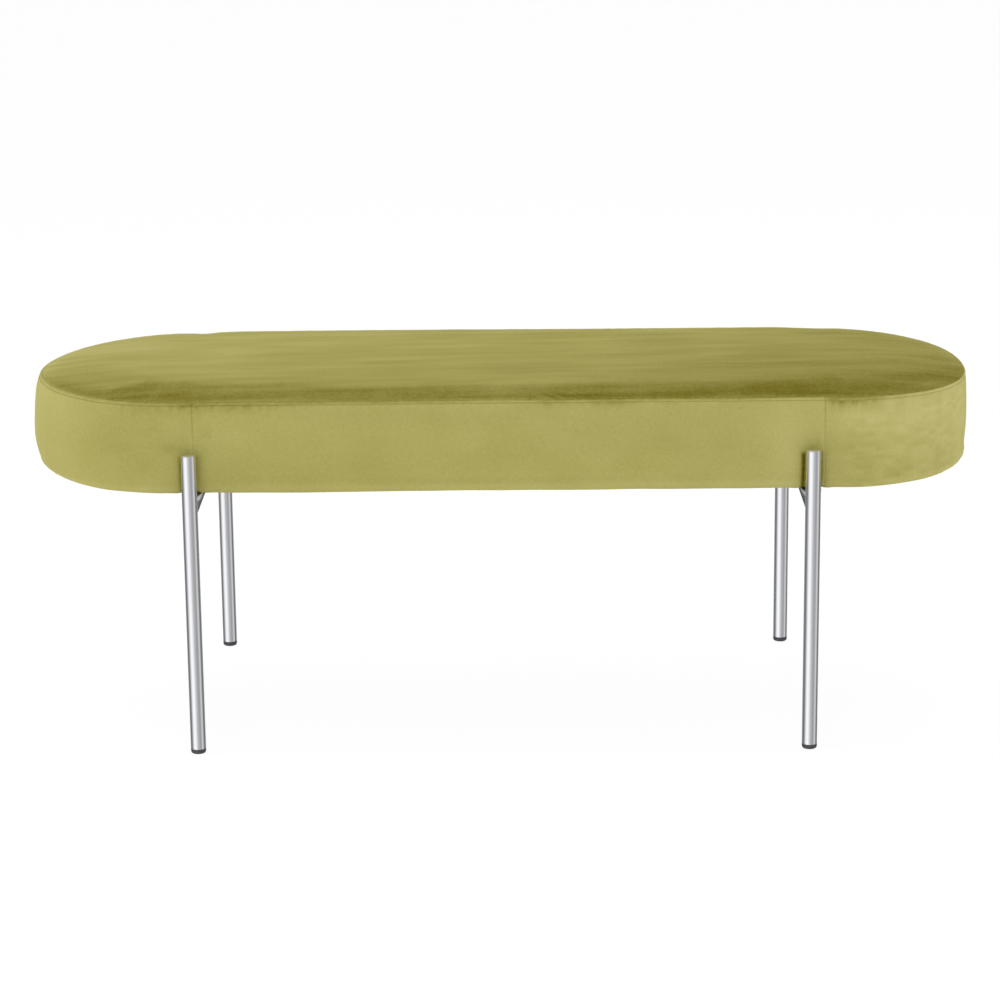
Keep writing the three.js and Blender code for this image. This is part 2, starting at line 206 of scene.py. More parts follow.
def smooth(low, high, value):
    """A smooth step from 0 at low to 1 at high."""
    share = np.clip((value - low) / (high - low), 0, 1)
    return share * share * (3 - 2 * share)


def bell(value, width):
    """A hump of height 1 at value 0, and about as wide as width on each side."""
    return np.exp(-((value / width) ** 2))


def wander(along, across, along_step, across_step, seed, period=None):
    """Smooth noise from -1 to 1 over a surface, whose lumps are about a step in size. With
    a period it repeats along that distance, as it must once round the seam."""
    columns = LATTICE_COLUMNS if period is None else round(period / along_step)
    step = along_step if period is None else period / columns
    lattice = np.random.default_rng(seed).uniform(-1, 1, (LATTICE_ROWS, columns))
    u, v = np.broadcast_arrays(along / step, across / across_step)
    column, row = np.floor(u).astype(int), np.floor(v).astype(int)
    du, dv = smooth(0, 1, u - column), smooth(0, 1, v - row)
    left, right = column % columns, (column + 1) % columns
    above, below = row % LATTICE_ROWS, (row + 1) % LATTICE_ROWS
    near = lattice[above, left] * (1 - du) + lattice[above, right] * du
    far = lattice[below, left] * (1 - du) + lattice[below, right] * du
    return near * (1 - dv) + far * dv


# Plan of the seam


def end_quarter(reach, power, turn):
    """A quarter of a blunt round end, from the side (turn 0) to the tip (turn 1)."""
    across = np.sin(turn * math.pi / 2) ** (2 / power)
    along = np.cos(turn * math.pi / 2) ** (2 / power)
    normal = np.stack([across ** (power - 1) / reach, along ** (power - 1) / SEAM_HALF_DEPTH])
    normal /= np.linalg.norm(normal, axis=0)
    return STRAIGHT_HALF + reach * across, SEAM_HALF_DEPTH * along, *normal


class Plan:
    """The seam's plan, measured anticlockwise from the middle of the front."""

    def __init__(self, steps=800):
        turn = np.linspace(0, 1, steps)
        right = end_quarter(RIGHT_REACH, RIGHT_POWER, turn)
        left = end_quarter(LEFT_REACH, LEFT_POWER, turn)
        middle = [np.zeros(1), np.full(1, SEAM_HALF_DEPTH), np.zeros(1), np.ones(1)]
        runs = [
            self.turned(middle, 1, -1),
            self.turned(right, 1, -1),
            self.turned([v[::-1] for v in right], 1, 1),
            self.turned(middle, 1, 1),
            self.turned(left, -1, 1),
            self.turned([v[::-1] for v in left], -1, -1),
            self.turned(middle, 1, -1),
        ]
        self.table = np.concatenate(runs, axis=1)
        hops = np.hypot(np.diff(self.table[0]), np.diff(self.table[1]))
        self.reach = np.concatenate([[0], np.cumsum(hops)])
        self.length = self.reach[-1]
        self.back_middle = self.reach[1 + 2 * steps]

    @staticmethod
    def turned(quarter, x_sign, y_sign):
        x, y, nx, ny = quarter
        return np.stack([x_sign * x, y_sign * y, x_sign * nx, y_sign * ny])

    def at(self, distance):
        """Place and outward direction at distances round the seam."""
        wrapped = np.mod(distance, self.length)
        return [np.interp(wrapped, self.reach, row) for row in self.table]

    def around(self, pitch):
        """Distances once round, alike at the front and the back, so that points drawn in to
        the spine from both sides meet there. The last, which meets the first, is left out."""
        right = np.linspace(0, self.back_middle, round(self.back_middle / pitch), endpoint=False)
        left_length = self.length - self.back_middle
        left = np.linspace(0, left_length, round(left_length / pitch), endpoint=False)
        return np.concatenate([right, self.back_middle + left])

    def closed(self, pitch):
        """The same distances, with the last one too."""
        return np.append(self.around(pitch), self.length)


PLAN = Plan()
FRONT_RIGHT_SEAM = BAND_SEAM_X + RIGHT_TWIST
FRONT_LEFT_SEAM = PLAN.length - BAND_SEAM_X + LEFT_TWIST
BACK_RIGHT_SEAM = PLAN.back_middle - BAND_SEAM_X + RIGHT_TWIST
BACK_LEFT_SEAM = PLAN.back_middle + BAND_SEAM_X + LEFT_TWIST
BAND_SEAMS = (FRONT_RIGHT_SEAM, BACK_RIGHT_SEAM, BACK_LEFT_SEAM, FRONT_LEFT_SEAM)
LEG_PLACES = (LEG_X, PLAN.back_middle - LEG_X, PLAN.back_middle + LEG_X, PLAN.length - LEG_X)


def ripple(distance, across, *layers):
    """Noise that closes on itself round the seam, summed from layers of (amount, step along
    the seam, step across it, seed)."""
    total = 0
    for amount, along_step, across_step, seed in layers:
        total = total + amount * wander(distance, across, along_step, across_step, seed, PLAN.length)
    return total


def line_ripple(distance, amount, step, seed):
    """Noise along the seam alone, as one row for all drops down the band."""
    return ripple(distance, 0 * distance, (amount, step, 1, seed))[None, :]


def end_share(x, side):
    """0 along the straight sides, rising to 1 at the tip of the end on one side."""
    return np.clip((side * x - STRAIGHT_HALF) / END_REACH, 0, 1)


def from_seam(distance, seam):
    """Signed distance round the plan from an upright seam of the band or another place."""
    return (distance - seam + PLAN.length / 2) % PLAN.length - PLAN.length / 2


def dips(x, places):
    """The sum of soft dips at places along the bench."""
    return sum(share * bell(x - place, width) for place, width, share in places)


def settle(points):
    """Moves points of a neat cushion to where this one's cover and filling really lie."""
    x, y, z = points[..., 0], points[..., 1], points[..., 2]
    left, right = end_share(x, -1) ** 2, end_share(x, 1) ** 2
    up = np.clip((z - HEM_BOTTOM) / (SEAM_HEIGHT - HEM_BOTTOM), 0, 1.1)
    back = smooth(0.1 * SEAM_HALF_DEPTH, SEAM_HALF_DEPTH, y) * smooth(0.2, 0.8, up)
    between = smooth(*BACK_LIFT_START, x) * (1 - smooth(*BACK_LIFT_END, x))
    between = between - BACK_LIFT_LOSS * smooth(*BACK_LIFT_LOSS_RANGE, x)
    front = smooth(0.8 * SEAM_HALF_DEPTH, SEAM_HALF_DEPTH, -y) * bell(z - SEAM_HEIGHT, SEAM_DIP_HEIGHT)
    moved = points.copy()
    moved[..., 1] += LEFT_SHIFT * left * up
    moved[..., 2] -= RIGHT_SAG * right * up + LEFT_DROP * left * (1 - up) * smooth(0, 0.12, up)
    moved[..., 2] += BACK_LIFT * back * between - SEAM_DIP * front * dips(x, SEAM_DIPS)
    moved[..., 2] -= LEFT_SAG * left * up * smooth(*LEFT_SAG_RANGE, y)
    moved[..., 2] -= BACK_DIP * back * dips(x, BACK_DIPS)
    return moved


# Profile of the cushion


def crown_height(inset, crown):
    share = np.clip(inset / CROWN_ROLL, 0, 1)
    return SEAM_HEIGHT + crown * np.sqrt(1 - (1 - share) ** 2)


def swell(height, bulge):
    share = np.clip((SEAM_HEIGHT - height) / (SEAM_HEIGHT - HEM_BOTTOM), 0, 1)
    return bulge * np.sin(np.pi * share**SWELL_LEAN_POWER) ** SWELL_FULL_POWER


def bulge_at(x, bulge):
    """The band's fullness, which differs between the two ends."""
    start = SLACK_END_SHARE * (BULGE - bulge)
    left, right = smooth(0, 0.5, end_share(x, -1)), smooth(0, 0.5, end_share(x, 1))
    return bulge + (start + LEFT_FULLER) * left + (start + RIGHT_FULLER) * right


# Points down the band, fine for the cover and plain for what lies under it: millimetres
# down the ridge, and then the counts down the wall, round the edge and along the hem
FINE_RIDGE = (0, 0.3, 0.7, 1.2, 1.8, 2.4, 2.9, 3.3, 3.6, 3.8, 4.1, 4.6, 5.4, 6.6, 8.4)
PLAIN_RIDGE = (0, 4, 8)
FINE_COUNTS = (34, 11, 16)
PLAIN_COUNTS = (14, 5, 6)


def band_stations(fine):
    """Heights down the ridge and the wall, turns round the edge and shares of the hem."""
    stations, counts = (FINE_RIDGE, FINE_COUNTS) if fine else (PLAIN_RIDGE, PLAIN_COUNTS)
    ridge = SEAM_HEIGHT - np.array(stations) * MM
    wall = np.linspace(ridge[-1], EDGE_TOP, counts[0])[1:]
    turns = np.linspace(0, math.pi / 2, counts[1])[1:]
    hem = np.linspace(0, 1, counts[2])[1:]
    return ridge, wall, turns, hem


def band_profile(bulge, fine, inward=0.0):
    """Outward distance, height and normal at each station down the band, for one bulge."""
    ridge, wall, turns, hem = band_stations(fine)
    heights = np.concatenate([ridge, wall])
    centre = swell(EDGE_TOP, bulge) - EDGE_ROUND
    radius = EDGE_ROUND - inward
    out = np.concatenate([
        swell(heights, bulge) - inward,
        centre + radius * np.cos(turns),
        centre + (-HEM_INSET - centre) * hem,
    ])
    height = np.concatenate([
        heights,
        EDGE_TOP - radius * np.sin(turns),
        np.full(len(hem), HEM_BOTTOM + inward),
    ])
    normal_out = np.concatenate([np.ones(len(heights)), np.cos(turns), np.zeros(len(hem))])
    normal_up = np.concatenate([np.zeros(len(heights)), -np.sin(turns), -np.ones(len(hem))])
    return out, height, normal_out, normal_up


def band_surface(distance, bulge, fine, relief=None, inward=0.0):
    """Points of the band's outside, one row for each station and one column a distance."""
    x, y, nx, ny = PLAN.at(distance)
    low = band_profile(bulge, fine, inward)
    high = band_profile(bulge + MM, fine, inward)
    more = (bulge_at(x, bulge) - bulge) / MM
    out = low[0][:, None] + (high[0] - low[0])[:, None] * more[None, :]
    height = np.repeat(low[1][:, None], len(distance), axis=1)
    if relief is not None:
        out = out + low[2][:, None] * relief
        height = height + low[3][:, None] * relief
    return np.stack([x + out * nx, y + out * ny, height], axis=-1)


# Rings of the top panel: millimetres in from the seam, and then the counts over the rest
# of the roll and from there to the spine
FINE_RINGS = (0, 0.25, 0.6, 1.1, 1.8, 2.8, 4.2, 6, 8.5, 12)
PLAIN_RINGS = (0, 2, 6, 12)
FINE_RING_COUNTS = (22, 16)
PLAIN_RING_COUNTS = (10, 8)


def top_insets(fine):
    """Insets of the top panel's rings over its roll, from the seam inward."""
    near = np.array(FINE_RINGS if fine else PLAIN_RINGS) * MM
    count = (FINE_RING_COUNTS if fine else PLAIN_RING_COUNTS)[0]
    return np.concatenate([near, np.linspace(near[-1], CROWN_ROLL, count)[1:]])


def top_surface(distance, crown, fine, relief=None, inward=0.0):
    """Points of the top panel, one ring for each inset, with the last on the spine."""
    x, y, nx, ny = PLAN.at(distance)
    foot_x = np.clip(x, -STRAIGHT_HALF, STRAIGHT_HALF)
    depth = (x - foot_x) * nx + y * ny
    insets = top_insets(fine)
    roll = np.clip(1 - insets[:, None] / depth, 0, 1)
    inner_count = (FINE_RING_COUNTS if fine else PLAIN_RING_COUNTS)[1]
    inner = np.linspace(1, 0, inner_count)[1:, None] * roll[-1]
    share = np.concatenate([roll, inner])
    inset = (1 - share) * depth
    height = crown_height(inset, crown) - inward
    if relief is not None:
        height = height + relief(foot_x + share * (x - foot_x), share * y, inset)
    return np.stack([foot_x + share * (x - foot_x), share * y, height], axis=-1)


# Mesh helpers


def new_object(name, data):
    piece = bpy.data.objects.new(name, data)
    bpy.context.scene.collection.objects.link(piece)
    return piece


def mesh_from(name, points, faces):
    mesh = bpy.data.meshes.new(name)
    mesh.from_pydata(np.asarray(points).reshape(-1, 3).tolist(), [], faces)
    mesh.update()
    return mesh


def grid_faces(rows, columns, wrapped):
    """Quads between the points of a grid, which may close on itself across its columns."""
    row, column = np.meshgrid(
        np.arange(rows - 1), np.arange(columns if wrapped else columns - 1), indexing="ij"
    )
    row, column = row.ravel(), column.ravel()
    after = (column + 1) % columns
    quads = [row * columns + column, (row + 1) * columns + column]
    quads += [(row + 1) * columns + after, row * columns + after]
    return np.stack(quads, axis=1).tolist()


def skin_faces(rows, columns):
    """Faces of a grid that closes on itself and has its last row filled."""
    last_row = list(range((rows - 1) * columns, rows * columns))
    return grid_faces(rows, columns, True) + [last_row[::-1]]


def clean(mesh, merge=0.02 * MM):
    """Merges doubled points and turns every face outwards."""
    work = bmesh.new()
    work.from_mesh(mesh)
    bmesh.ops.remove_doubles(work, verts=work.verts, dist=merge)
    bmesh.ops.recalc_face_normals(work, faces=work.faces)
    work.to_mesh(mesh)
    work.free()
    return mesh


def soften(mesh, degrees=40):
    mesh.shade_smooth()
    mesh.set_sharp_from_angle(angle=math.radians(degrees))
    return mesh


def loft(name, loops, closed=False):
    """Joins loops of equal length into a skin. Its ends are filled unless it is closed."""
    points = np.array(loops)
    rows, columns = points.shape[:2]
    faces = grid_faces(rows, columns, True)
    if closed:
        last = (rows - 1) * columns
        ring = np.arange(columns)
        after = (ring + 1) % columns
        faces += np.stack([last + ring, ring, after, last + after], axis=1).tolist()
    else:
        faces.append(list(range(columns)))
        faces.append(list(range((rows - 1) * columns, rows * columns))[::-1])
    return soften(clean(mesh_from(name, points, faces), 0.002 * MM), 30)


def circle(radius, height, sides=LOOP_SIDES, centre=(0, 0)):
    angle = np.arange(sides) * 2 * math.pi / sides
    x = centre[0] + radius * np.cos(angle)
    y = centre[1] + radius * np.sin(angle)
    return np.stack([x, y, np.full(sides, height)], axis=-1)


def evaluated(piece):
    """A plain mesh of a piece with its modifiers carried out."""
    graph = bpy.context.evaluated_depsgraph_get()
    return bpy.data.meshes.new_from_object(piece.evaluated_get(graph))


def finish_with_modifiers(piece):
    mesh = evaluated(piece)
    piece.modifiers.clear()
    piece.data = mesh
    return piece


def dress(piece, material, slot, *nodes):
    """Gives a finished piece its material and its place in the bench."""
    piece.data.materials.clear()
    piece.data.materials.append(material)
    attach(piece, BODY)
    if nodes:
        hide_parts(*nodes)
    return piece


# Materials


def linear(colour):
    """An sRGB hex colour as linear red, green, blue and alpha."""
    channels = [int(colour[i:i + 2], 16) / 255 for i in (1, 3, 5)]
    return (*[c / 12.92 if c <= 0.04045 else ((c + 0.055) / 1.055) ** 2.4 for c in channels], 1.0)


def add(tree, kind, settings=None, inputs=None, stops=()):
    """Adds a node with its settings, and inputs that are values or sockets to link. Where
    it turns a value to a colour, stops of (place, linear colour) say how."""
    node = tree.nodes.new(kind)
    for name, value in (settings or {}).items():
        setattr(node, name, value)
    for name, value in (inputs or {}).items():
        if isinstance(value, bpy.types.NodeSocket):
            tree.links.new(value, node.inputs[name])
        else:
            node.inputs[name].default_value = value
    while stops and len(node.color_ramp.elements) < len(stops):
        node.color_ramp.elements.new(0.5)
    for index, (place, colour) in enumerate(stops):
        element = node.color_ramp.elements[index]
        element.position = place
        element.color = colour
    return node


def blank_tree(owner):
    """The emptied node tree of a material or a world."""
    owner.use_nodes = True
    owner.node_tree.nodes.clear()
    return owner.node_tree


def new_material(name, shader_values):
    """A material with one Principled shader. Returns it, its tree and the shader."""
    material = bpy.data.materials.new(name)
    tree = blank_tree(material)
    shader = add(tree, "ShaderNodeBsdfPrincipled", None, shader_values)
    add(tree, "ShaderNodeOutputMaterial", None, {"Surface": shader.outputs["BSDF"]})
    return material, tree, shader


def mottle(tree, size, stretch=(1, 1, 1), detail=2.0, roughness=0.5):
    """Soft lumps on Object coordinates, about size across and longer by stretch."""
    place = add(tree, "ShaderNodeTexCoord").outputs["Object"]
    scale = tuple(1 / (size * s) for s in stretch)
    mapped = add(tree, "ShaderNodeMapping", None, {"Vector": place, "Scale": scale})
    inputs = {"Vector": mapped.outputs["Vector"], "Scale": 1.0, "Detail": detail, "Roughness": roughness}
    return add(tree, "ShaderNodeTexNoise", None, inputs).outputs["Fac"]


def cell_pattern(tree, size, values=None):
    """Distance from the middles of cells on Object coordinates, about size across."""
    place = add(tree, "ShaderNodeTexCoord").outputs["Object"]
    inputs = {"Vector": place, "Scale": 1 / size, **(values or {})}
    return add(tree, "ShaderNodeTexVoronoi", None, inputs).outputs["Distance"]


def reckon(tree, value, *steps):
    """Carries a value or socket through steps of (operation, second value or socket)."""
    for operation, other in steps:
        node = add(tree, "ShaderNodeMath", {"operation": operation}, {0: value, 1: other})
        value = node.outputs["Value"]
    return value


def weighted_sum(tree, start, *terms):
    """start plus the sum of (pattern - 0.5) * weight over terms of (pattern, weight)."""
    total = start
    for value, weight in terms:
        centred = reckon(tree, value, ("SUBTRACT", 0.5), ("MULTIPLY", weight))
        total = reckon(tree, total, ("ADD", centred))
    return total


def tint(tree, shader, value, stops):
    """Colours a finish by a value, through stops of (place, sRGB colour)."""
    steps = [(place, linear(colour)) for place, colour in stops]
    colour = add(tree, "ShaderNodeValToRGB", None, {"Fac": value}, steps)
    tree.links.new(colour.outputs["Color"], shader.inputs["Base Color"])


def emboss(tree, shader, height, depth, strength):
    """Presses a value into a finish as a relief of a real depth."""
    inputs = {"Height": height, "Distance": depth, "Strength": strength}
    relief = add(tree, "ShaderNodeBump", None, inputs)
    tree.links.new(relief.outputs["Normal"], shader.inputs["Normal"])


# Tones of the velvet from the deep painted shade beside a leg, over darker pile and the
# painted shade of the front roll, and the plain velvet, to paler pile and painted light. Past
# the most darkening, the grain gets no coarser.
DEEP_SHADE = 0.5
VELVET_TONES = ((0.0, "#231b14"), (1 / 3, "#726a1c"), (2 / 3, "#a59e5a"), (1.0, "#c8c17f"))
MOST_DARKER = 0.4


def velvet(name, tone_shift, sheen, streak):
    """Short-pile polyester velvet, woven and brushed. The eye sees a soft matt body, a
    pale bloom where it turns away, and darker or lighter strokes where the pile leans.
    Its colour also carries painted shade beside the legs, along the front roll, in the seams
    and under the ridge, and painted light on the ridge, at the ends and along the edges. Its
    grain is coarser where its tone is darker, in darker pile and painted shade alike. The
    tufts of such a pile are too fine to show, so the finest grain is drawn several times as
    coarse."""
    material, tree, shader = new_material(name, {
        "Roughness": 0.9,
        "IOR": 1.46,
        "Specular IOR Level": 0.06,
        "Sheen Weight": sheen,
        "Sheen Roughness": 0.45,
        "Sheen Tint": linear("#d8cd76"),
    })
    # The tone of the pile, with painted light and shade laid into it, stored on the cover's points
    pile_tone_and_painted_light = add(tree, "ShaderNodeAttribute", {"attribute_name": "pile_tone_and_painted_light"}).outputs["Fac"]
    # How far the tone lies below the plain velvet, in darker pile and painted shade alike
    darker_than_plain = reckon(tree, 0.5, ("SUBTRACT", pile_tone_and_painted_light), ("MAXIMUM", 0.0), ("MINIMUM", MOST_DARKER))
    coarse = reckon(tree, darker_than_plain, ("MULTIPLY", 0.5), ("ADD", 0.13))
    clumping = reckon(tree, darker_than_plain, ("MULTIPLY", 0.3))
    pile = mottle(tree, 1.6 * MM, detail=1.0)
    tuft = mottle(tree, 4.5 * MM, roughness=0.6)
    clump = mottle(tree, 13 * MM, stretch=(1.5, 1, 1))
    hand = mottle(tree, 60 * MM, stretch=(1.6, 1, 1))
    stroke = mottle(tree, 11 * MM, stretch=(14, 1.2, 1))
    fine = ((pile, 0.22), (pile, clumping), (tuft, coarse))
    broad = ((clump, clumping), (hand, 0.08), (stroke, streak))
    tone = weighted_sum(tree, reckon(tree, pile_tone_and_painted_light, ("ADD", tone_shift)), *fine, *broad)
    tint(tree, shader, reckon(tree, tone, ("ADD", DEEP_SHADE), ("DIVIDE", 1 + DEEP_SHADE)), VELVET_TONES)
    emboss(tree, shader, weighted_sum(tree, 0.0, (pile, 0.6), (tuft, 0.5)), 0.35 * MM, 0.5)
    return material


def spun_thread():
    """Bonded polyester thread, twisted and dyed to the velvet. It shows as small smooth
    grains, a little darker and glossier than the pile."""
    material, tree, shader = new_material("bonded_thread", {"Roughness": 0.5, "Sheen Weight": 0.1})
    twist = mottle(tree, 0.5 * MM, detail=1.0)
    tint(tree, shader, twist, ((0.3, "#857f3c"), (0.7, "#a39c56")))
    emboss(tree, shader, twist, 0.1 * MM, 0.6)
    return material


def satin_chrome():
    """Steel tube, polished and plated with satin chromium. The eye sees clear upright
    bands of light and dark with soft borders, and a very faint drawn grain, which is
    coarser than the real one, too fine to show."""
    material, tree, shader = new_material("satin_chromed_steel", {"Metallic": 1.0})
    drawn = mottle(tree, 0.6 * MM, stretch=(1, 1, 60))
    cloud = mottle(tree, 25 * MM, stretch=(1, 1, 3))
    tone = weighted_sum(tree, 0.5, (drawn, 0.25), (cloud, 0.3))
    tint(tree, shader, tone, ((0.0, "#d6d7da"), (0.5, "#e4e5e8"), (1.0, "#efeff1")))
    rough = weighted_sum(tree, 0.19, (drawn, 0.05), (cloud, 0.05))
    tree.links.new(rough, shader.inputs["Roughness"])
    emboss(tree, shader, drawn, 0.01 * MM, 0.5)
    return material


def zinc_plate():
    """Zinc plated steel, as on common bolts and staples: bluish grey, a little cloudy."""
    material, tree, shader = new_material("zinc_plated_steel", {"Metallic": 1.0})
    cloud = mottle(tree, 2.5 * MM, detail=3.0)
    tint(tree, shader, cloud, ((0.2, "#9fa3a8"), (0.8, "#c6c9cc")))
    tree.links.new(weighted_sum(tree, 0.36, (cloud, 0.2)), shader.inputs["Roughness"])
    return material


def moulded_plastic():
    """Polypropylene, moulded, charcoal grey. Matt, with the grain of a spark-eroded mould,
    drawn coarser than the real one, which is too fine to show."""
    material, tree, shader = new_material("moulded_polypropylene", {"Roughness": 0.5, "IOR": 1.49})
    grain = mottle(tree, 0.5 * MM)
    tint(tree, shader, grain, ((0.2, "#36353a"), (0.8, "#48474d")))
    emboss(tree, shader, grain, 0.06 * MM, 0.5)
    return material


def softwood():
    """Planed spruce rails: long pale grain with darker late wood."""
    material, tree, shader = new_material("planed_spruce", {"Roughness": 0.62, "IOR": 1.5})
    grain = mottle(tree, 5 * MM, stretch=(18, 18, 1), detail=3.0)
    pores = mottle(tree, 0.8 * MM, stretch=(12, 12, 1), detail=1.0)
    tone = weighted_sum(tree, grain, (pores, 0.3))
    tint(tree, shader, tone, ((0.3, "#e3c794"), (0.6, "#d2ae74"), (0.75, "#b98c52")))
    emboss(tree, shader, tone, 0.15 * MM, 0.4)
    return material


def birch_plywood():
    """Rotary-cut birch plywood: a broad pale figure, with thin darker plies on its edges."""
    material, tree, shader = new_material("birch_plywood", {"Roughness": 0.6, "IOR": 1.5})
    figure = mottle(tree, 30 * MM, stretch=(6, 1, 1), detail=4.0, roughness=0.6)
    plies = mottle(tree, 1.4 * MM, stretch=(400, 400, 1), detail=0.0)
    tone = weighted_sum(tree, figure, (plies, 0.35))
    tint(tree, shader, tone, ((0.25, "#b98f5c"), (0.5, "#cfae7c"), (0.8, "#dcc297")))
    emboss(tree, shader, figure, 0.1 * MM, 0.3)
    return material


def open_cell_foam():
    """Cut polyurethane foam: cream, matt and pitted by its open cells, which are drawn
    coarser than the real ones."""
    material, tree, shader = new_material("open_cell_foam", {"Roughness": 0.95, "Specular IOR Level": 0.1})
    cells = cell_pattern(tree, 1.5 * MM)
    tint(tree, shader, cells, ((0.0, "#cfc59c"), (0.6, "#efe9d2")))
    emboss(tree, shader, cells, 0.5 * MM, 0.8)
    return material


def polyester_wadding():
    """Bonded polyester fibre: white, soft and tangled."""
    material, tree, shader = new_material("polyester_wadding", {"Roughness": 1.0, "Sheen Weight": 0.5})
    fibre = mottle(tree, 2 * MM, stretch=(3, 1, 1), detail=4.0, roughness=0.7)
    tint(tree, shader, fibre, ((0.3, "#dddcd6"), (0.7, "#f6f5f1")))
    emboss(tree, shader, fibre, 0.8 * MM, 0.7)
    return material


def spunbond_cloth():
    """Black non-woven dust cloth: thin, matt, with pressed dots and stray fibres."""
    material, tree, shader = new_material("spunbond_cloth", {"Roughness": 0.9, "Sheen Weight": 0.15})
    dots = cell_pattern(tree, 1.8 * MM, {"Randomness": 0.15})
    fibre = mottle(tree, 1.2 * MM, stretch=(4, 1, 1), detail=3.0)
    cloud = mottle(tree, 30 * MM)
    tone = weighted_sum(tree, 0.5, (dots, 0.5), (fibre, 0.5), (cloud, 0.4))
    tint(tree, shader, tone, ((0.1, "#161618"), (0.9, "#36363a")))
    emboss(tree, shader, dots, 0.2 * MM, 0.6)
    return material


# The swelling of the cushion


def core_mesh():
    """One closed skin of the slack cushion, top, band and underside together."""
    distance = PLAN.around(CORE_PITCH)
    top = top_surface(distance, SLACK_CROWN, False)[::-1]
    band = band_surface(distance, SLACK_BULGE, False)
    points = np.concatenate([top, band[1:]])
    return clean(mesh_from("core", points, skin_faces(*points.shape[:2])))


def hold(core):
    """Pins the core where seams and the frame hold it, as a group of its points."""
    x, y, _, _ = PLAN.at(PLAN.around(BAND_PITCH))
    tree = KDTree(len(x))
    for index, (px, py) in enumerate(zip(x, y)):
        tree.insert((px, py, SEAM_HEIGHT), index)
    tree.balance()
    group = core.vertex_groups.new(name=HELD_GROUP)
    seam_x = [PLAN.at(s)[0] for s in BAND_SEAMS]
    seam_side = [np.sign(PLAN.at(s)[1]) for s in BAND_SEAMS]
    for vertex in core.data.vertices:
        _, _, gap = tree.find(vertex.co)
        weight = 1 - max(0.0, min(1.0, (gap - HELD_REACH) / HELD_FADE))
        if vertex.co.z < HEM_BOTTOM + HELD_HEM:
            weight = 1.0
        for px, side in zip(seam_x, seam_side):
            near_seam = abs(vertex.co.x - px) < HELD_REACH and vertex.co.y * side > UPRIGHT_DEPTH
            if near_seam and vertex.co.z < SEAM_HEIGHT:
                weight = max(weight, UPRIGHT_HELD)
        if weight > 0:
            group.add([vertex.index], weight, "REPLACE")


def mesh_points(mesh):
    points = np.zeros(len(mesh.vertices) * 3)
    mesh.vertices.foreach_get("co", points)
    return points.reshape(-1, 3)


def swelling():
    """Swells the slack core as cloth. Returns where its points were and how they moved."""
    core = new_object("core", core_mesh())
    remesh = core.modifiers.new("remesh", "REMESH")
    remesh.mode = "VOXEL"
    remesh.voxel_size = CORE_VOXEL
    finish_with_modifiers(core)
    before = mesh_points(core.data)
    hold(core)
    cloth = core.modifiers.new("swell", "CLOTH")
    cloth.collision_settings.use_collision = False
    for name, value in SIM_SETTINGS.items():
        setattr(cloth.settings, name, value)
    cloth.settings.effector_weights.gravity = 0
    for step in range(1, SIM_FRAMES + 1):
        bpy.context.scene.frame_set(step)
    after = mesh_points(evaluated(core))
    bpy.context.scene.frame_set(1)
    bpy.data.objects.remove(core)
    return before, cap_moves(after - before)


def cap_moves(moves):
    """Eases each move towards a limit, so that no point goes further than the cap."""
    length = np.linalg.norm(moves, axis=1, keepdims=True)
    return moves * SWELL_CAP * np.tanh(length / SWELL_CAP) / np.maximum(length, 1e-9)


class Swelling:
    """How far the simulated cushion moves a point of the slack one."""

    def __init__(self):
        before, self.moves = swelling()
        self.tree = KDTree(len(before))
        for index, point in enumerate(before):
            self.tree.insert(point, index)
        self.tree.balance()

    def move(self, points):
        flat = points.reshape(-1, 3)
        moved = np.zeros_like(flat)
        for index, point in enumerate(flat):
            found = self.tree.find_n(point, SWELL_NEIGHBOURS)
            weight = np.array([1 / (gap * gap + SWELL_BLUR**2) for _, _, gap in found])
            near = self.moves[[i for _, i, _ in found]]
            moved[index] = (near * weight[:, None]).sum(0) / weight.sum()
        return moved.reshape(points.shape)


SWELLING = Swelling()
START_CROWN = CROWN if SWELLING is None else SLACK_CROWN
START_BULGE = BULGE if SWELLING is None else SLACK_BULGE


def swollen(points):
    """Adds the simulated swelling to points of the slack cushion."""
    return points if SWELLING is None else points + SWELLING.move(points)


# Relief of the cover. A hump is (height, half width), a range is where a change starts and
# is full, down the band or in from the seam, and noise is as ripple and line_ripple take it.


def hump(value, size):
    height, width = size
    return height * bell(value, width)


def station_drops():
    """How far down the band from the seam each fine station is, along the cloth."""
    out, height, _, _ = band_profile(START_BULGE, True)
    hops = np.hypot(np.diff(out), np.diff(height))
    return np.concatenate([[0], np.cumsum(hops)])


def edge_drop():
    """How far down the cloth the lower edge is."""
    return station_drops()[len(FINE_RIDGE) + FINE_COUNTS[0] - 1]


RIDGE_WANDER = (0.35 * MM, 60 * MM, 11)
RIDGE_UNEVEN = (0.25, 23 * MM, 12)
STITCH_GROOVE = (STITCH_SINK, 0.8 * MM)
SEAM_CREASE = (CREASE_DEPTH, CREASE_WIDTH)


def ridge_relief(distance, drop):
    """The turned allowance under the seam, which stands proud down to the topstitch."""
    lift = line_ripple(distance, *RIDGE_WANDER)
    depth = np.clip((drop[:, None] - lift) / RIDGE_HEIGHT, 0, 1)
    proud = RIDGE_PROUD * np.sqrt(np.sin(np.pi * depth).clip(0))
    fullness = 1 + line_ripple(distance, *RIDGE_UNEVEN)
    groove = hump(drop[:, None] - lift - RIDGE_HEIGHT, STITCH_GROOVE)
    return proud * fullness - groove - hump(drop, SEAM_CREASE)[:, None]


STITCH_HOLLOW = 0.1 * MM
STITCH_HOLLOW_FADE = 2.2 * MM


def stitch_pull(distance, drop):
    """The small hollow that each stitch pulls, which fades out down the band."""
    phase = np.cos(2 * np.pi * distance / STITCH_PITCH)[None, :]
    below = np.clip(drop[:, None] - RIDGE_HEIGHT, 0, None)
    reach = np.exp(-below / STITCH_HOLLOW_FADE) * (drop[:, None] > 0.7 * RIDGE_HEIGHT)
    return -STITCH_HOLLOW * (1 + phase) / 2 * reach


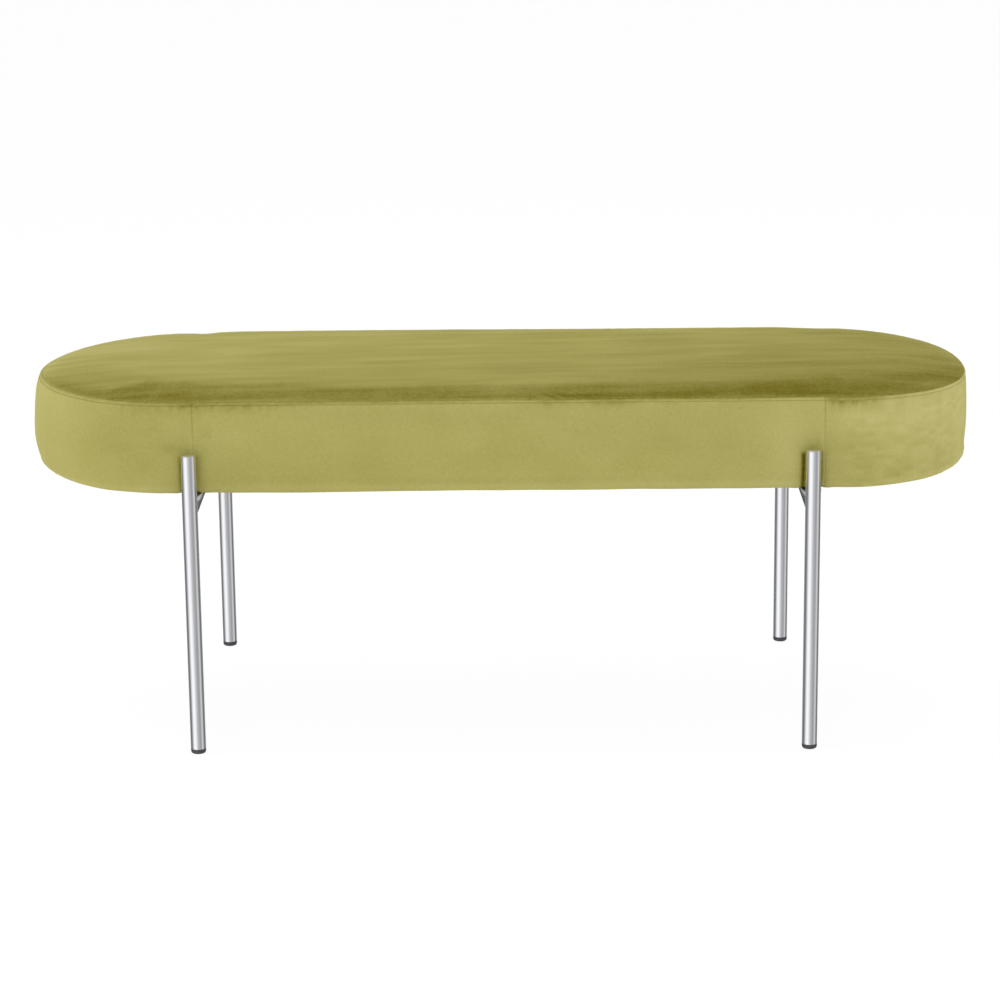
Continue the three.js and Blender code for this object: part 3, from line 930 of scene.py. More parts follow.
# Gathers under the topstitch: where they are deeper, as place, half width and share, their
# share everywhere, their full depth, how they fade and start below the stitches, and folds
PUCKER_ZONES = (
    (FRONT_RIGHT_SEAM + 32 * MM, 26 * MM, 1.0),
    (FRONT_RIGHT_SEAM - 265 * MM, 20 * MM, 0.4),
    (FRONT_RIGHT_SEAM - 190 * MM, 25 * MM, 0.3),
    (FRONT_LEFT_SEAM + 10 * MM, 12 * MM, 0.4),
    (FRONT_LEFT_SEAM - 70 * MM, 40 * MM, 0.25),
    (BACK_LEFT_SEAM + 40 * MM, 25 * MM, 0.6),
    (BACK_RIGHT_SEAM - 30 * MM, 20 * MM, 0.5),
)
PUCKER_EVERYWHERE = 0.12
PUCKER_DEPTH = 0.6 * MM
PUCKER_FADE = 7 * MM
PUCKER_START = 2 * MM
PUCKER_LINES = (1.0, 4.2 * MM, 21)
PUCKER_BREAKS = (0.5, 9 * MM, 14 * MM, 22)


def pucker_share(distance):
    share = np.full(len(distance), PUCKER_EVERYWHERE)
    for place, width, amount in PUCKER_ZONES:
        share += amount * bell(from_seam(distance, place), width)
    return share[None, :]


def pucker_folds(distance, drop):
    """0 to 1 between and on the creases of the gathers under the topstitch."""
    folds = line_ripple(distance, *PUCKER_LINES)
    folds = folds + ripple(distance[None, :], drop[:, None], PUCKER_BREAKS)
    below = np.clip(drop[:, None] - RIDGE_HEIGHT, 0, None)
    return np.abs(folds) * np.exp(-below / PUCKER_FADE) * smooth(0, PUCKER_START, below)


def pucker_relief(distance, drop):
    """Gathers under the topstitch, faint all round and deeper in a few places."""
    return -PUCKER_DEPTH * pucker_share(distance) * pucker_folds(distance, drop)


UPRIGHT_CREASE = (0.12 * MM, 1.1 * MM)
UPRIGHT_CREASE_FADE = (30 * MM, 55 * MM)
UPRIGHT_ALLOWANCE = (0.2 * MM, 3.5 * MM)
UPRIGHT_ALLOWANCE_ASIDE = 5 * MM
UPRIGHT_DRAW = (0.7 * MM, 26 * MM)
UPRIGHT_DRAW_RANGE = (6 * MM, 30 * MM)
UPRIGHT_RANGE = (0, 2 * MM)


def upright_seam_relief(distance, drop):
    """Each upright seam: a fine crease, its allowance beside it, and a slight draw-in."""
    relief = np.zeros((len(drop), len(distance)))
    for seam in BAND_SEAMS:
        gap = from_seam(distance, seam)[None, :]
        upper = 1 - 0.8 * smooth(*UPRIGHT_CREASE_FADE, drop)[:, None]
        relief -= hump(gap, UPRIGHT_CREASE) * upper
        relief += hump(gap - UPRIGHT_ALLOWANCE_ASIDE, UPRIGHT_ALLOWANCE)
        relief -= hump(gap, UPRIGHT_DRAW) * smooth(*UPRIGHT_DRAW_RANGE, drop)[:, None]
    return relief * smooth(*UPRIGHT_RANGE, drop)[:, None]


LEG_HOLLOW = (0.7 * MM, 9 * MM)
LEG_SWELL = (1.0 * MM, 8 * MM)
LEG_SWELL_ASIDE = 18 * MM
LEG_RELIEF_RANGE = (54 * MM, 76 * MM)


def leg_relief(distance, drop):
    """The hollow in which each leg lies against the band, and the cloth full beside it."""
    relief = np.zeros((len(drop), len(distance)))
    for place in LEG_PLACES:
        gap = from_seam(distance, place)[None, :]
        relief += hump(np.abs(gap) - LEG_SWELL_ASIDE, LEG_SWELL) - hump(gap, LEG_HOLLOW)
    return relief * smooth(*LEG_RELIEF_RANGE, drop)[:, None]


# Dimples in the band: place, how far down, half width, half height, and millimetres deep
DIMPLES = (
    (FRONT_LEFT_SEAM + 12 * MM, 34 * MM, 12 * MM, 8 * MM, 0.8),
    (FRONT_LEFT_SEAM - 22 * MM, 52 * MM, 22 * MM, 16 * MM, 0.4),
    (FRONT_RIGHT_SEAM - 20 * MM, 60 * MM, 26 * MM, 20 * MM, 0.4),
    (FRONT_RIGHT_SEAM + 92 * MM, 74 * MM, 45 * MM, 12 * MM, 0.6),
)
WALL_LUMPS = ((0.45, 120 * MM, 70 * MM, 31), (0.14, 30 * MM, 24 * MM, 32))
WALL_RANGE = (8 * MM, 30 * MM)


def wall_relief(distance, drop):
    """Broad unevenness of the filling, and a few dimples that the eye picks out."""
    down = smooth(*WALL_RANGE, drop)[:, None]
    relief = MM * ripple(distance[None, :], drop[:, None], *WALL_LUMPS) * down
    for place, depth, wide, tall, amount in DIMPLES:
        spot = bell(from_seam(distance, place), wide)[None, :] * bell(drop - depth, tall)[:, None]
        relief = relief - amount * MM * spot
    return relief


# Pleats, counted from the lower edge, and the waves of that edge
PLEAT_START = (-6 * MM, 4 * MM)
PLEAT_END = (8 * MM, 15 * MM)
PLEAT_DEPTH = 0.8 * MM
PLEAT_FAN = (1.0, 9 * MM, 41)
LEG_HOLD_WIDTH = 22 * MM
EDGE_WAVE = (0.4 * MM, 42 * MM, 42)
EDGE_WAVE_BELOW = 8 * MM
EDGE_WAVE_WIDTH = 12 * MM


def hem_relief(distance, drop):
    """Pleats where the cloth turns under the round ends, and a wavy lower edge."""
    x = PLAN.at(distance)[0]
    ends = (end_share(x, -1) + end_share(x, 1))[None, :]
    edge = edge_drop()
    under = smooth(edge + PLEAT_START[0], edge + PLEAT_START[1], drop)
    under = under * (1 - smooth(edge + PLEAT_END[0], edge + PLEAT_END[1], drop))
    fan = np.abs(line_ripple(distance, *PLEAT_FAN)) * np.sqrt(ends)
    sag = EDGE_SAG * (1 - smooth(0.05, 0.4, end_share(x, -1)))
    for place in LEG_PLACES:
        sag = sag * (1 - bell(from_seam(distance, place), LEG_HOLD_WIDTH))
    wave = sag[None, :] + line_ripple(distance, *EDGE_WAVE)
    low = bell(drop - edge - EDGE_WAVE_BELOW, EDGE_WAVE_WIDTH)[:, None]
    return PLEAT_DEPTH * fan * under[:, None] + wave * low


LOW_FULLNESS = (LEFT_LOW_FULLER, 31 * MM)
LOW_FULLNESS_DROP = 85 * MM
LOW_TUCK = (RIGHT_TUCK, 20 * MM)
LOW_TUCK_DROP = 100 * MM


def low_fullness(distance, drop):
    """The left end, which hangs fuller low down, and the right, which tucks in below."""
    x = PLAN.at(distance)[0]
    left, right = smooth(0, 0.6, end_share(x, -1)), smooth(0, 0.6, end_share(x, 1))
    fuller = hump(drop - LOW_FULLNESS_DROP, LOW_FULLNESS)[:, None] * left[None, :]
    return fuller - hump(drop - LOW_TUCK_DROP, LOW_TUCK)[:, None] * right[None, :]


def band_relief(distance):
    drop = station_drops()
    relief = ridge_relief(distance, drop) + stitch_pull(distance, drop)
    relief += pucker_relief(distance, drop) + upright_seam_relief(distance, drop)
    relief += leg_relief(distance, drop) + hem_relief(distance, drop) + low_fullness(distance, drop)
    return relief + wall_relief(distance, drop)


# The top's gathers beside the seam, spaced as if it were a circle of this radius, its lumps
# and its crease
GATHERS_RADIUS = 0.46
GATHERS_STEP = 6 * MM
GATHERS_DEPTH = 0.18 * MM
GATHERS_FADE = 9 * MM
TOP_LUMP_DEPTH = 0.7 * MM
TOP_LUMP_RANGE = (5 * MM, 60 * MM)
TOP_CREASE = (0.6 * CREASE_DEPTH, CREASE_WIDTH)


def top_relief(x, y, inset):
    """The crease at the seam, gathers beside it and broad soft unevenness."""
    around = np.arctan2(y / SEAM_HALF_DEPTH, x / SEAM_HALF_LENGTH) * GATHERS_RADIUS
    gathers = wander(around, 0 * around, GATHERS_STEP, 1, 51) * np.exp(-inset / GATHERS_FADE)
    lumps = wander(x, y, 150 * MM, 90 * MM, 52) + 0.35 * wander(x, y, 60 * MM, 40 * MM, 53)
    raised = GATHERS_DEPTH * gathers + TOP_LUMP_DEPTH * lumps * smooth(*TOP_LUMP_RANGE, inset)
    return raised - hump(inset, TOP_CREASE)


# Tone of the pile, with painted light and shade in it: 0 is darkest, 0.5 the plain velvet
# and 1 palest. The tables give signed millimetres round the seam from the middle of the
# front, to the right, and a value.

# How far in from the seam the painted shade of the front roll reaches, in millimetres
ROLL_REACH = (
    (-700, 0), (-660, 8), (-620, 22), (-590, 32), (-550, 34), (-511, 34), (-494, 60),
    (-470, 88), (-440, 94), (-396, 92), (-372, 78), (-325, 70), (-275, 70), (-225, 62),
    (-125, 59), (-60, 62), (37, 64), (75, 60), (149, 64), (249, 66), (324, 68), (399, 76),
    (473, 76), (546, 70), (600, 72), (660, 54), (706, 24), (730, 6), (760, 0),
)

# How dark that painted shade is
ROLL_DEPTH = (
    (-700, 0.17), (-640, 0.26), (-560, 0.27), (-511, 0.26), (-480, 0.31), (-440, 0.32), (-390, 0.3),
    (-350, 0.22), (-260, 0.24), (-200, 0.27), (-120, 0.28), (-60, 0.3), (0, 0.25), (60, 0.26),
    (120, 0.23), (200, 0.22), (300, 0.27), (370, 0.3), (470, 0.21), (540, 0.17), (640, 0.18), (700, 0.14),
)

# How much darker still it is a little in from the seam
ROLL_EDGE = (
    (-660, 0.0), (-540, -0.03), (-440, -0.03), (-380, 0.07), (-280, 0.03), (-200, -0.05), (-60, 0.0),
    (60, 0.02), (110, 0.08), (200, 0.04), (400, 0.06), (460, -0.02), (540, -0.1), (640, -0.05),
)

# The fainter painted shade that goes further in than the roll's
FAINT_PAINTED_SHADE = (
    (-710, 0.0), (-660, 0.1), (-600, 0.15), (-540, 0.18), (-480, 0.19), (-430, 0.08), (-360, 0.08),
    (-240, 0.08), (-120, 0.06), (-60, 0.0), (0, -0.05), (60, 0.01), (120, 0.07), (180, 0.04), (420, 0.04),
    (540, 0.03), (660, -0.02), (720, 0.0),
)

# Soft patches, darker or paler, on the top: place x and y, width and depth, and tone
TOP_PATCHES = (
    (0.42, -0.1, 0.17, 0.045, -0.08),
    (0.27, -0.065, 0.06, 0.022, -0.08),
    (-0.045, -0.132, 0.03, 0.012, 0.07),
    (0.07, -0.14, 0.05, 0.014, 0.06),
    (-0.25, -0.1, 0.05, 0.02, -0.06),
    (-0.13, -0.1, 0.05, 0.015, -0.06),
    (-0.42, -0.1, 0.07, 0.03, -0.08),
    (-0.36, 0.0, 0.03, 0.05, 0.04),
)

# Painted highlight and shade on the ridge under the seam
RIDGE_PAINTED_LIGHT = (
    (-720, 0.04), (-600, 0.0), (-480, 0.08), (-400, -0.03), (-385, -0.14), (-330, -0.08),
    (-258, -0.08), (-200, -0.05), (-110, -0.04), (-60, 0.03), (0, 0.08), (30, 0.06), (55, -0.04), (104, 0.02),
    (120, -0.1), (158, -0.06), (180, 0.05), (240, 0.04), (300, 0.0), (360, 0.12), (398, 0.08),
    (404, -0.22), (452, -0.24), (475, 0.0), (510, 0.14), (560, 0.24), (720, 0.2),
)

# Shading just below the ridge
UNDER_TONE = (
    (-720, 0.0), (-480, 0.0), (-430, -0.08), (-372, -0.25), (-300, -0.22), (-240, 0.0), (-200, 0.02),
    (0, 0.06), (35, 0.02), (60, -0.12), (90, 0.0), (125, -0.16), (160, -0.12), (178, 0.05),
    (240, 0.08), (300, 0.04), (360, -0.03), (398, 0.0), (406, -0.2), (450, -0.24), (480, -0.06),
    (520, 0.05), (720, 0.02),
)

# Soft patches, darker or paler, on the band: millimetres round the seam as above, then
# millimetres down from it, width, height and tone
BAND_PATCHES = (
    (-620, 15, 70, 45, 0.07),
    (-475, 60, 55, 60, -0.09),
    (-405, 30, 16, 14, 0.05),
    (-410, 58, 11, 8, -0.08),
    (-386, 3, 7, 1.4, -0.16),
    (-363, 40, 7, 5, -0.07),
    (-325, 41, 22, 14, 0.04),
    (-190, 85, 150, 32, -0.06),
    (40, 50, 110, 60, 0.035),
    (125, 15, 60, 13, 0.06),
    (355, 75, 26, 50, 0.16),
    (425, 88, 30, 30, 0.06),
    (480, 35, 30, 22, 0.05),
    (600, 10, 50, 14, 0.06),
    (-420, 30, 70, 40, -0.04),
    (-30, 107, 130, 6, -0.06),
    (430, 22, 34, 24, 0.1),
    (454, 60, 45, 14, -0.07),
    (500, 76, 30, 7, 0.05),
    (560, 25, 110, 40, 0.15),
    (625, 70, 60, 55, 0.12),
    (350, 25, 50, 30, 0.05),
    (-660, 60, 30, 45, 0.08),
)


def signed_distance(distance):
    """Distance from the middle of the front, negative to the left of it, in millimetres."""
    return from_seam(distance, 0.0) / MM


def table(rows, distance):
    places, values = zip(*rows)
    return np.interp(signed_distance(distance), places, values, left=0.0, right=0.0)


def patches(along, across, rows):
    """The sum of soft patches, each with a place, a size and a tone."""
    tone = 0 * along + 0 * across
    for place_along, place_across, wide, tall, amount in rows:
        tone = tone + amount * bell(along - place_along, wide) * bell(across - place_across, tall)
    return tone


# Border of the front roll's painted shade: its width at the left end, how much sharper it is
# along the front and softer at the right end, with ranges of signed millimetres where it
# changes, how far inside the roll's reach it lies, and how ragged it is. Then the strokes in
# the roll, its inner ring, and how much paler it is at the seam.
ROLL_BORDER = 22 * MM
ROLL_SHARPER = 8 * MM
ROLL_SHARPER_RANGE = (-450, -300)
ROLL_SOFTER = 14 * MM
ROLL_SOFTER_RANGE = (470, 600)
ROLL_BORDER_INSIDE = 7 * MM
ROLL_RAGGED = ((3.2 * MM, 22 * MM, 400 * MM, 61), (2 * MM, 7 * MM, 30 * MM, 62))
ROLL_STROKES = (0.14, 9 * MM, 35 * MM, 65)
ROLL_EDGE_INSET = 13 * MM
ROLL_EDGE_WIDTH = 9 * MM
ROLL_SEAM_PALER = (0.45, 5 * MM)


def roll_painted_shade(distance, inset):
    """Painted shade of the front roll, darker where it turns towards the eye, with a ragged border."""
    reach = table(ROLL_REACH, distance)[None, :] * MM
    depth, edge = table(ROLL_DEPTH, distance)[None, :], table(ROLL_EDGE, distance)[None, :]
    ragged = ripple(distance[None, :], inset, *ROLL_RAGGED)
    place = signed_distance(distance)[None, :]
    blur = ROLL_BORDER - ROLL_SHARPER * smooth(*ROLL_SHARPER_RANGE, place)
    blur = blur + ROLL_SOFTER * smooth(*ROLL_SOFTER_RANGE, place)
    inside = 1 - smooth(-1, 1, (inset - reach + ROLL_BORDER_INSIDE + ragged) / blur)
    deeper = 0.62 + 0.38 * np.clip(1 - inset / np.maximum(reach, MM), 0, 1)
    strokes = 1 + ripple(distance[None, :], inset, ROLL_STROKES)
    ring = bell(inset - ROLL_EDGE_INSET, ROLL_EDGE_WIDTH) * (reach > 0)
    return (depth * inside * deeper * strokes + edge * ring) * (1 - hump(inset, ROLL_SEAM_PALER))


FAINT_RANGE = (45 * MM, 125 * MM)
RIM_PALER = (0.1, 12 * MM)
RIM_INSET = 4 * MM
RIM_REACH = 40 * MM


# Painted shade, fainter, that reaches further in than the front roll's
def faint_painted_shade(distance, inset):
    return table(FAINT_PAINTED_SHADE, distance)[None, :] * (1 - smooth(*FAINT_RANGE, inset))


def rim_painted_sheen(distance, inset):
    """Painted sheen along the seam, where the roll is narrow or there is none."""
    reach = table(ROLL_REACH, distance)[None, :] * MM
    return hump(inset - RIM_INSET, RIM_PALER) * (1 - smooth(0, RIM_REACH, reach))


# A stretch of the front roll with crossed strokes: its place and half width in signed
# millimetres, its inset and half depth, and the slant and noise of the strokes
TOUSLED_PLACE = 75
TOUSLED = (0.25, 28)
TOUSLED_INSET = 12 * MM
TOUSLED_DEPTH = 12 * MM
TOUSLED_SLANT = 0.9
TOUSLED_STROKES = (1.0, 6 * MM, 30 * MM, 66)


def tousled(distance, inset):
    hatched = ripple(distance[None, :] + TOUSLED_SLANT * inset, inset, TOUSLED_STROKES)
    along = hump(signed_distance(distance) - TOUSLED_PLACE, TOUSLED)[None, :]
    return along * bell(inset - TOUSLED_INSET, TOUSLED_DEPTH) * hatched


def brushed_top(x, y):
    """Long faint strokes across the top, a little askew, as a hand leaves them."""
    along, across = x + 0.8 * y, y - 0.12 * x
    brushed = 0.06 * wander(along, across, 150 * MM, 17 * MM, 63)
    brushed = brushed + 0.04 * wander(x, y, 70 * MM, 45 * MM, 64)
    return brushed + 0.035 * wander(along, across + 0.05 * x, 60 * MM, 8 * MM, 67)


# The plain tone of the top, and painted light across it: paler towards the back and darker towards the right
PLAIN_VELVET = 0.5
PALER_TO_BACK = 0.07
DARKER_TO_RIGHT = 0.12


def top_pile_tone_and_painted_light(distance, x, y, inset):
    """Painted shade along the front roll, where it turns towards the eye, painted light that is
    paler to the back and darker to the right, and painted sheen along the seam, over the
    pile's own strokes and patches.
    """
    slope = PALER_TO_BACK * y / SEAM_HALF_DEPTH - DARKER_TO_RIGHT * x / SEAM_HALF_LENGTH
    tone = PLAIN_VELVET + slope + brushed_top(x, y) + rim_painted_sheen(distance, inset)
    tone = tone - roll_painted_shade(distance, inset) - faint_painted_shade(distance, inset)
    return tone + tousled(distance, inset) + patches(x, y, TOP_PATCHES)


# The deep shade in the narrow gaps beside the legs: a leg's place, how far to its side in
# millimetres, half its width and its depth
LEG_GAPS = (
    (PLAN.length - LEG_X, -11.5, 2.1, 0.42),
    (LEG_X, -11.3, 2.7, 0.9),
    (LEG_X, 11.4, 1.5, 0.42),
    (PLAN.back_middle - LEG_X, -11.0, 2.0, 0.4),
    (PLAN.back_middle - LEG_X, 11.0, 2.0, 0.4),
    (PLAN.back_middle + LEG_X, -11.0, 2.0, 0.4),
    (PLAN.back_middle + LEG_X, 11.0, 2.0, 0.4),
)


LEG_SOFT_SHADE = (0.1, 16 * MM)
LEG_SOFT_RANGE = (50 * MM, 68 * MM)
LEG_GAP_RANGE = (65 * MM, 73 * MM)


def leg_shade(distance, drop):
    """The deep shade in the gap on each side of a leg, and the soft shade round it."""
    near, around = np.zeros(len(distance)), np.zeros(len(distance))
    for place in LEG_PLACES:
        around += hump(from_seam(distance, place), LEG_SOFT_SHADE)
    for place, aside, wide, depth in LEG_GAPS:
        near += depth * bell(from_seam(distance, place + aside * MM), wide * MM)
    above, beside = smooth(*LEG_SOFT_RANGE, drop), smooth(*LEG_GAP_RANGE, drop)
    return around[None, :] * above[:, None] + near[None, :] * beside[:, None]


# Brushed noise and strokes of the band, and the stronger strokes of its right end, which
# begin over a range of signed millimetres
BAND_BRUSHED = (0.03, 150 * MM, 60 * MM, 71)
BAND_STROKES = (0.03, 40 * MM, 26 * MM, 72)
WORN_AMOUNT = 0.08
WORN_RANGE = (400, 450)
WORN_STROKES = (1.0, 13 * MM, 6 * MM, 76)


def brushed_band(distance, drop):
    strokes = ripple(distance[None, :], drop[:, None], BAND_STROKES)
    worn = WORN_AMOUNT * smooth(*WORN_RANGE, signed_distance(distance))[None, :]
    return strokes + worn * ripple(distance[None, :], drop[:, None], WORN_STROKES)


RIDGE_MOTTLE = (0.06, 6 * MM, 75)
UNDER_FADE = 6.5 * MM
UNDER_RAGGED = (0.7, 5 * MM, 6 * MM, 74)


def ridge_painted_light(distance, drop):
    """Painted highlight and shade on the ridge under the seam, lighter or darker along it."""
    uneven = table(RIDGE_PAINTED_LIGHT, distance) + line_ripple(distance, *RIDGE_MOTTLE)[0]
    return uneven[None, :] * bell(drop - 0.45 * RIDGE_HEIGHT, 0.45 * RIDGE_HEIGHT)[:, None]


def under_tone(distance, drop):
    """The soft ragged shading below the ridge."""
    ragged = 1 + ripple(distance[None, :], drop[:, None], UNDER_RAGGED)
    below = np.clip(drop - RIDGE_HEIGHT, 0, None)
    fade = np.exp(-below / UNDER_FADE) * smooth(0.6 * RIDGE_HEIGHT, RIDGE_HEIGHT, drop)
    return table(UNDER_TONE, distance)[None, :] * fade[:, None] * ragged


# Painted shade in the crease of the seam, the groove of the topstitch and along the upright seams, and the
# paler pile low on an upright seam
SEAM_LINE = (0.25, 2 * MM)
STITCH_LINE = (0.09, 0.9 * MM)
UPRIGHT_LINE_WIDTH = 1.3 * MM
UPRIGHT_LINE_RANGE = (35 * MM, 62 * MM)
UPRIGHT_PALER = (0.06, 1.8 * MM)
UPRIGHT_PALER_ASIDE = 3 * MM
UPRIGHT_PALER_RANGE = (30 * MM, 50 * MM)


def seam_lines(distance, drop):
    """Painted shade in the crease of the seam, the groove of the topstitch and the upright
    seams. Low down an upright seam loses its line, and the pile on it and beside it is paler."""
    lines = hump(drop, SEAM_LINE)[:, None] + hump(drop - RIDGE_HEIGHT, STITCH_LINE)[:, None]
    for seam in BAND_SEAMS:
        upper = 1 - smooth(*UPRIGHT_LINE_RANGE, drop)[:, None]
        gap = from_seam(distance, seam)[None, :]
        lines = lines + (0.15 * upper - 0.1) * bell(gap, UPRIGHT_LINE_WIDTH)
        low = smooth(*UPRIGHT_PALER_RANGE, drop)[:, None]
        lines = lines - hump(gap + UPRIGHT_PALER_ASIDE, UPRIGHT_PALER) * low
    return lines


# The plain tone of the band, and its painted light: paler towards the ends, where the band turns away, a
# little paler towards the top, a painted sheen along the lower edge, and painted shade in the folds of the
# gathers, with the share of the gathers past which it shows
BAND_PLAIN = 0.52
LEFT_END_PALER = 0.9
RIGHT_END_PALER = 1.5
END_PALER = 0.1
UPPER_PALER = 0.04
EDGE_PALER = (0.08, 5 * MM)
EDGE_PALER_BELOW = 6 * MM
FOLD_SHADE = 0.8
FOLD_SHARE_SHOWN = 0.2


def band_pile_tone_and_painted_light(distance, drop):
    """Paler towards the ends as painted light, and a little towards the top, with painted light
    and shade on the ridge, the shading under it, painted sheen along the lower edge, and
    painted shade in the seams, the folds and beside the legs, over the pile's own strokes.
    """
    x = PLAN.at(distance)[0]
    ends = (LEFT_END_PALER * end_share(x, -1) + RIGHT_END_PALER * end_share(x, 1))[None, :]
    # Painted light: paler towards the ends, and a little paler towards the top
    lift = END_PALER * ends + UPPER_PALER * (1 - drop[:, None] / drop[-1])
    brushed = ripple(distance[None, :], drop[:, None], BAND_BRUSHED)
    # Painted shade in the folds of the gathers
    folds = FOLD_SHADE * np.clip(pucker_share(distance) - FOLD_SHARE_SHOWN, 0, 1)
    folds = folds * pucker_folds(distance, drop)
    # Painted sheen along the lower edge
    rim = hump(drop - edge_drop() - EDGE_PALER_BELOW, EDGE_PALER)[:, None]
    spots = patches(signed_distance(distance)[None, :], drop[:, None] / MM, BAND_PATCHES)
    tone = BAND_PLAIN + lift + brushed + brushed_band(distance, drop)
    tone = tone + ridge_painted_light(distance, drop) + under_tone(distance, drop) + rim + spots
    return tone - (folds + seam_lines(distance, drop) + leg_shade(distance, drop))


def store_pile_tone_and_painted_light(mesh, values):
    """Stores the tone of the pile, with painted light and shade in it, on a mesh's points.
    Points past the end repeat the start.
    """
    attribute = mesh.attributes.new("pile_tone_and_painted_light", "FLOAT", "POINT")
    flat = np.asarray(values, float).ravel()
    flat = flat[np.arange(len(mesh.vertices)) % len(flat)]
    attribute.data.foreach_set("value", flat.astype(np.float32))


# The cover


def thicken(piece, thickness):
    """Gives a skin its cloth's thickness, inwards."""
    solid = piece.modifiers.new("cloth", "SOLIDIFY")
    solid.thickness = thickness
    solid.offset = -1
    solid.use_even_offset = True
    return finish_with_modifiers(piece)


def cover_panel(name, points, pile_tone_and_painted_light, wrapped):
    """A panel of the cover from a grid of points, with the tone of its pile and the painted
    light and shade in it.
    """
    rows, columns = points.shape[:2]
    mesh = mesh_from(name, points, grid_faces(rows, columns, wrapped))
    store_pile_tone_and_painted_light(mesh, pile_tone_and_painted_light)
    piece = new_object(name, clean(mesh, 0.005 * MM))
    thicken(piece, CLOTH)
    piece.data.shade_smooth()
    return piece


def top_panel(material):
    distance = PLAN.around(TOP_PITCH)
    plain = top_surface(distance, START_CROWN, True, top_relief)
    points = settle(swollen(plain))
    x, y, nx, ny = PLAN.at(distance)
    inset = (x - plain[..., 0]) * nx + (y - plain[..., 1]) * ny
    pile_tone_and_painted_light = top_pile_tone_and_painted_light(distance, plain[..., 0], plain[..., 1], inset)
    piece = cover_panel("velvet_top_panel", points, pile_tone_and_painted_light, True)
    dress(piece, material, "velvet", "top_panel")
    return piece


def band_panel(name, node, start, end, material):
    distance = np.linspace(start, end, int((end - start) / BAND_PITCH))
    relief = band_relief(distance)
    points = settle(swollen(band_surface(distance, START_BULGE, True, relief)))
    piece = cover_panel(name, points, band_pile_tone_and_painted_light(distance, station_drops()), False)
    dress(piece, material, "velvet", node)
    return piece


def band(material):
    panels = (
        ("velvet_front_band", "front_band", FRONT_LEFT_SEAM - PLAN.length, FRONT_RIGHT_SEAM),
        ("velvet_right_end_band", "right_end_band", FRONT_RIGHT_SEAM, BACK_RIGHT_SEAM),
        ("velvet_back_band", "back_band", BACK_RIGHT_SEAM, BACK_LEFT_SEAM),
        ("velvet_left_end_band", "left_end_band", BACK_LEFT_SEAM, FRONT_LEFT_SEAM),
    )
    for name, node, start, end in panels:
        band_panel(name, node, start + SEAM_OPENING, end - SEAM_OPENING, material)


# Filling


def foam(material):
    """The foam pad, a closed crowned form just under the top panel."""
    distance = PLAN.around(TOP_PITCH)
    rings = settle(swollen(top_surface(distance, START_CROWN, False, inward=FILLING_INSET)))
    rings = rings[(top_insets(False) > FRAME_SETBACK).argmax():]
    x, y, nx, ny = PLAN.at(distance)
    foot = np.stack([x - FRAME_SETBACK * nx, y - FRAME_SETBACK * ny, 0 * x + FOAM_BOTTOM], axis=-1)
    edge = foot.copy()
    edge[:, 2] = rings[0][:, 2] - FOAM_EDGE_DROP
    points = np.concatenate([rings[::-1], edge[None], foot[None]])
    mesh = mesh_from("seat_foam", points, skin_faces(*points.shape[:2]))
    piece = new_object("seat_foam", soften(clean(mesh)))
    dress(piece, material, "foam", "foam_pad")


# The band's plain rows that the wadding covers, from below the ridge to partway round the
# lower edge
WADDING_ROWS = slice(3, -7)


def wadding(material):
    """The wrap of wadding between the frame and the band, closed round its section."""
    distance = PLAN.around(TOP_PITCH)
    outer = swollen(band_surface(distance, START_BULGE, False, inward=FILLING_INSET))
    outer = settle(outer)[WADDING_ROWS]
    x, y, nx, ny = PLAN.at(distance)
    inner_out = FRAME_SETBACK - CLOTH_GAP
    low, high = outer[-1][:, 2], outer[0][:, 2]
    inner = [np.stack([x - inner_out * nx, y - inner_out * ny, h], axis=-1) for h in (low, high)]
    points = np.concatenate([outer, np.array(inner)])
    mesh = loft("seat_wadding", points, closed=True)
    piece = new_object("seat_wadding", mesh)
    dress(piece, material, "wadding", "side_wadding")


# Leg frames


def broken_edge(radius, height, up):
    """Two profile points that break a square outer edge."""
    return [(radius, height - up * EDGE_BREAK), (radius - EDGE_BREAK, height)]


def turned_piece(name, profile, x, y, closed):
    """A piece turned round an upright axis from (radius, height) points, bottom up."""
    loops = [circle(radius, height, TUBE_SIDES, (x, y)) for radius, height in profile]
    return new_object(name, loft(name, loops, closed))


def leg(name, x, y, material):
    low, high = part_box(name)
    profile = [
        (BORE_RADIUS, low.z),
        *broken_edge(TUBE_RADIUS, low.z, -1)[::-1],
        (TUBE_RADIUS, (low.z + high.z) / 2),
        *broken_edge(TUBE_RADIUS, high.z, 1),
        (BORE_RADIUS, high.z),
    ]
    piece = turned_piece(f"{name}_tube", profile, x, y, True)
    dress(piece, material, "steel", name)


def leg_cap(name, x, y, material):
    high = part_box(name)[1].z
    low = high - CAP_THICKNESS
    profile = [
        (PLUG_RADIUS - CAP_CHAMFER, low - CAP_PLUG),
        (PLUG_RADIUS, low - CAP_PLUG + CAP_CHAMFER),
        (PLUG_RADIUS, low),
        *broken_edge(TUBE_RADIUS, low, -1)[::-1],
        (TUBE_RADIUS, high - 1.3 * CAP_CHAMFER),
        (TUBE_RADIUS - 0.35 * CAP_CHAMFER, high - 0.75 * CAP_CHAMFER),
        (TUBE_RADIUS - 1.1 * CAP_CHAMFER, high - 0.38 * CAP_CHAMFER),
        (0.7 * TUBE_RADIUS, high - 0.14 * CAP_CHAMFER),
        (0.35 * TUBE_RADIUS, high),
    ]
    piece = turned_piece(f"{name}_plug", profile, x, y, False)
    dress(piece, material, "steel", name)


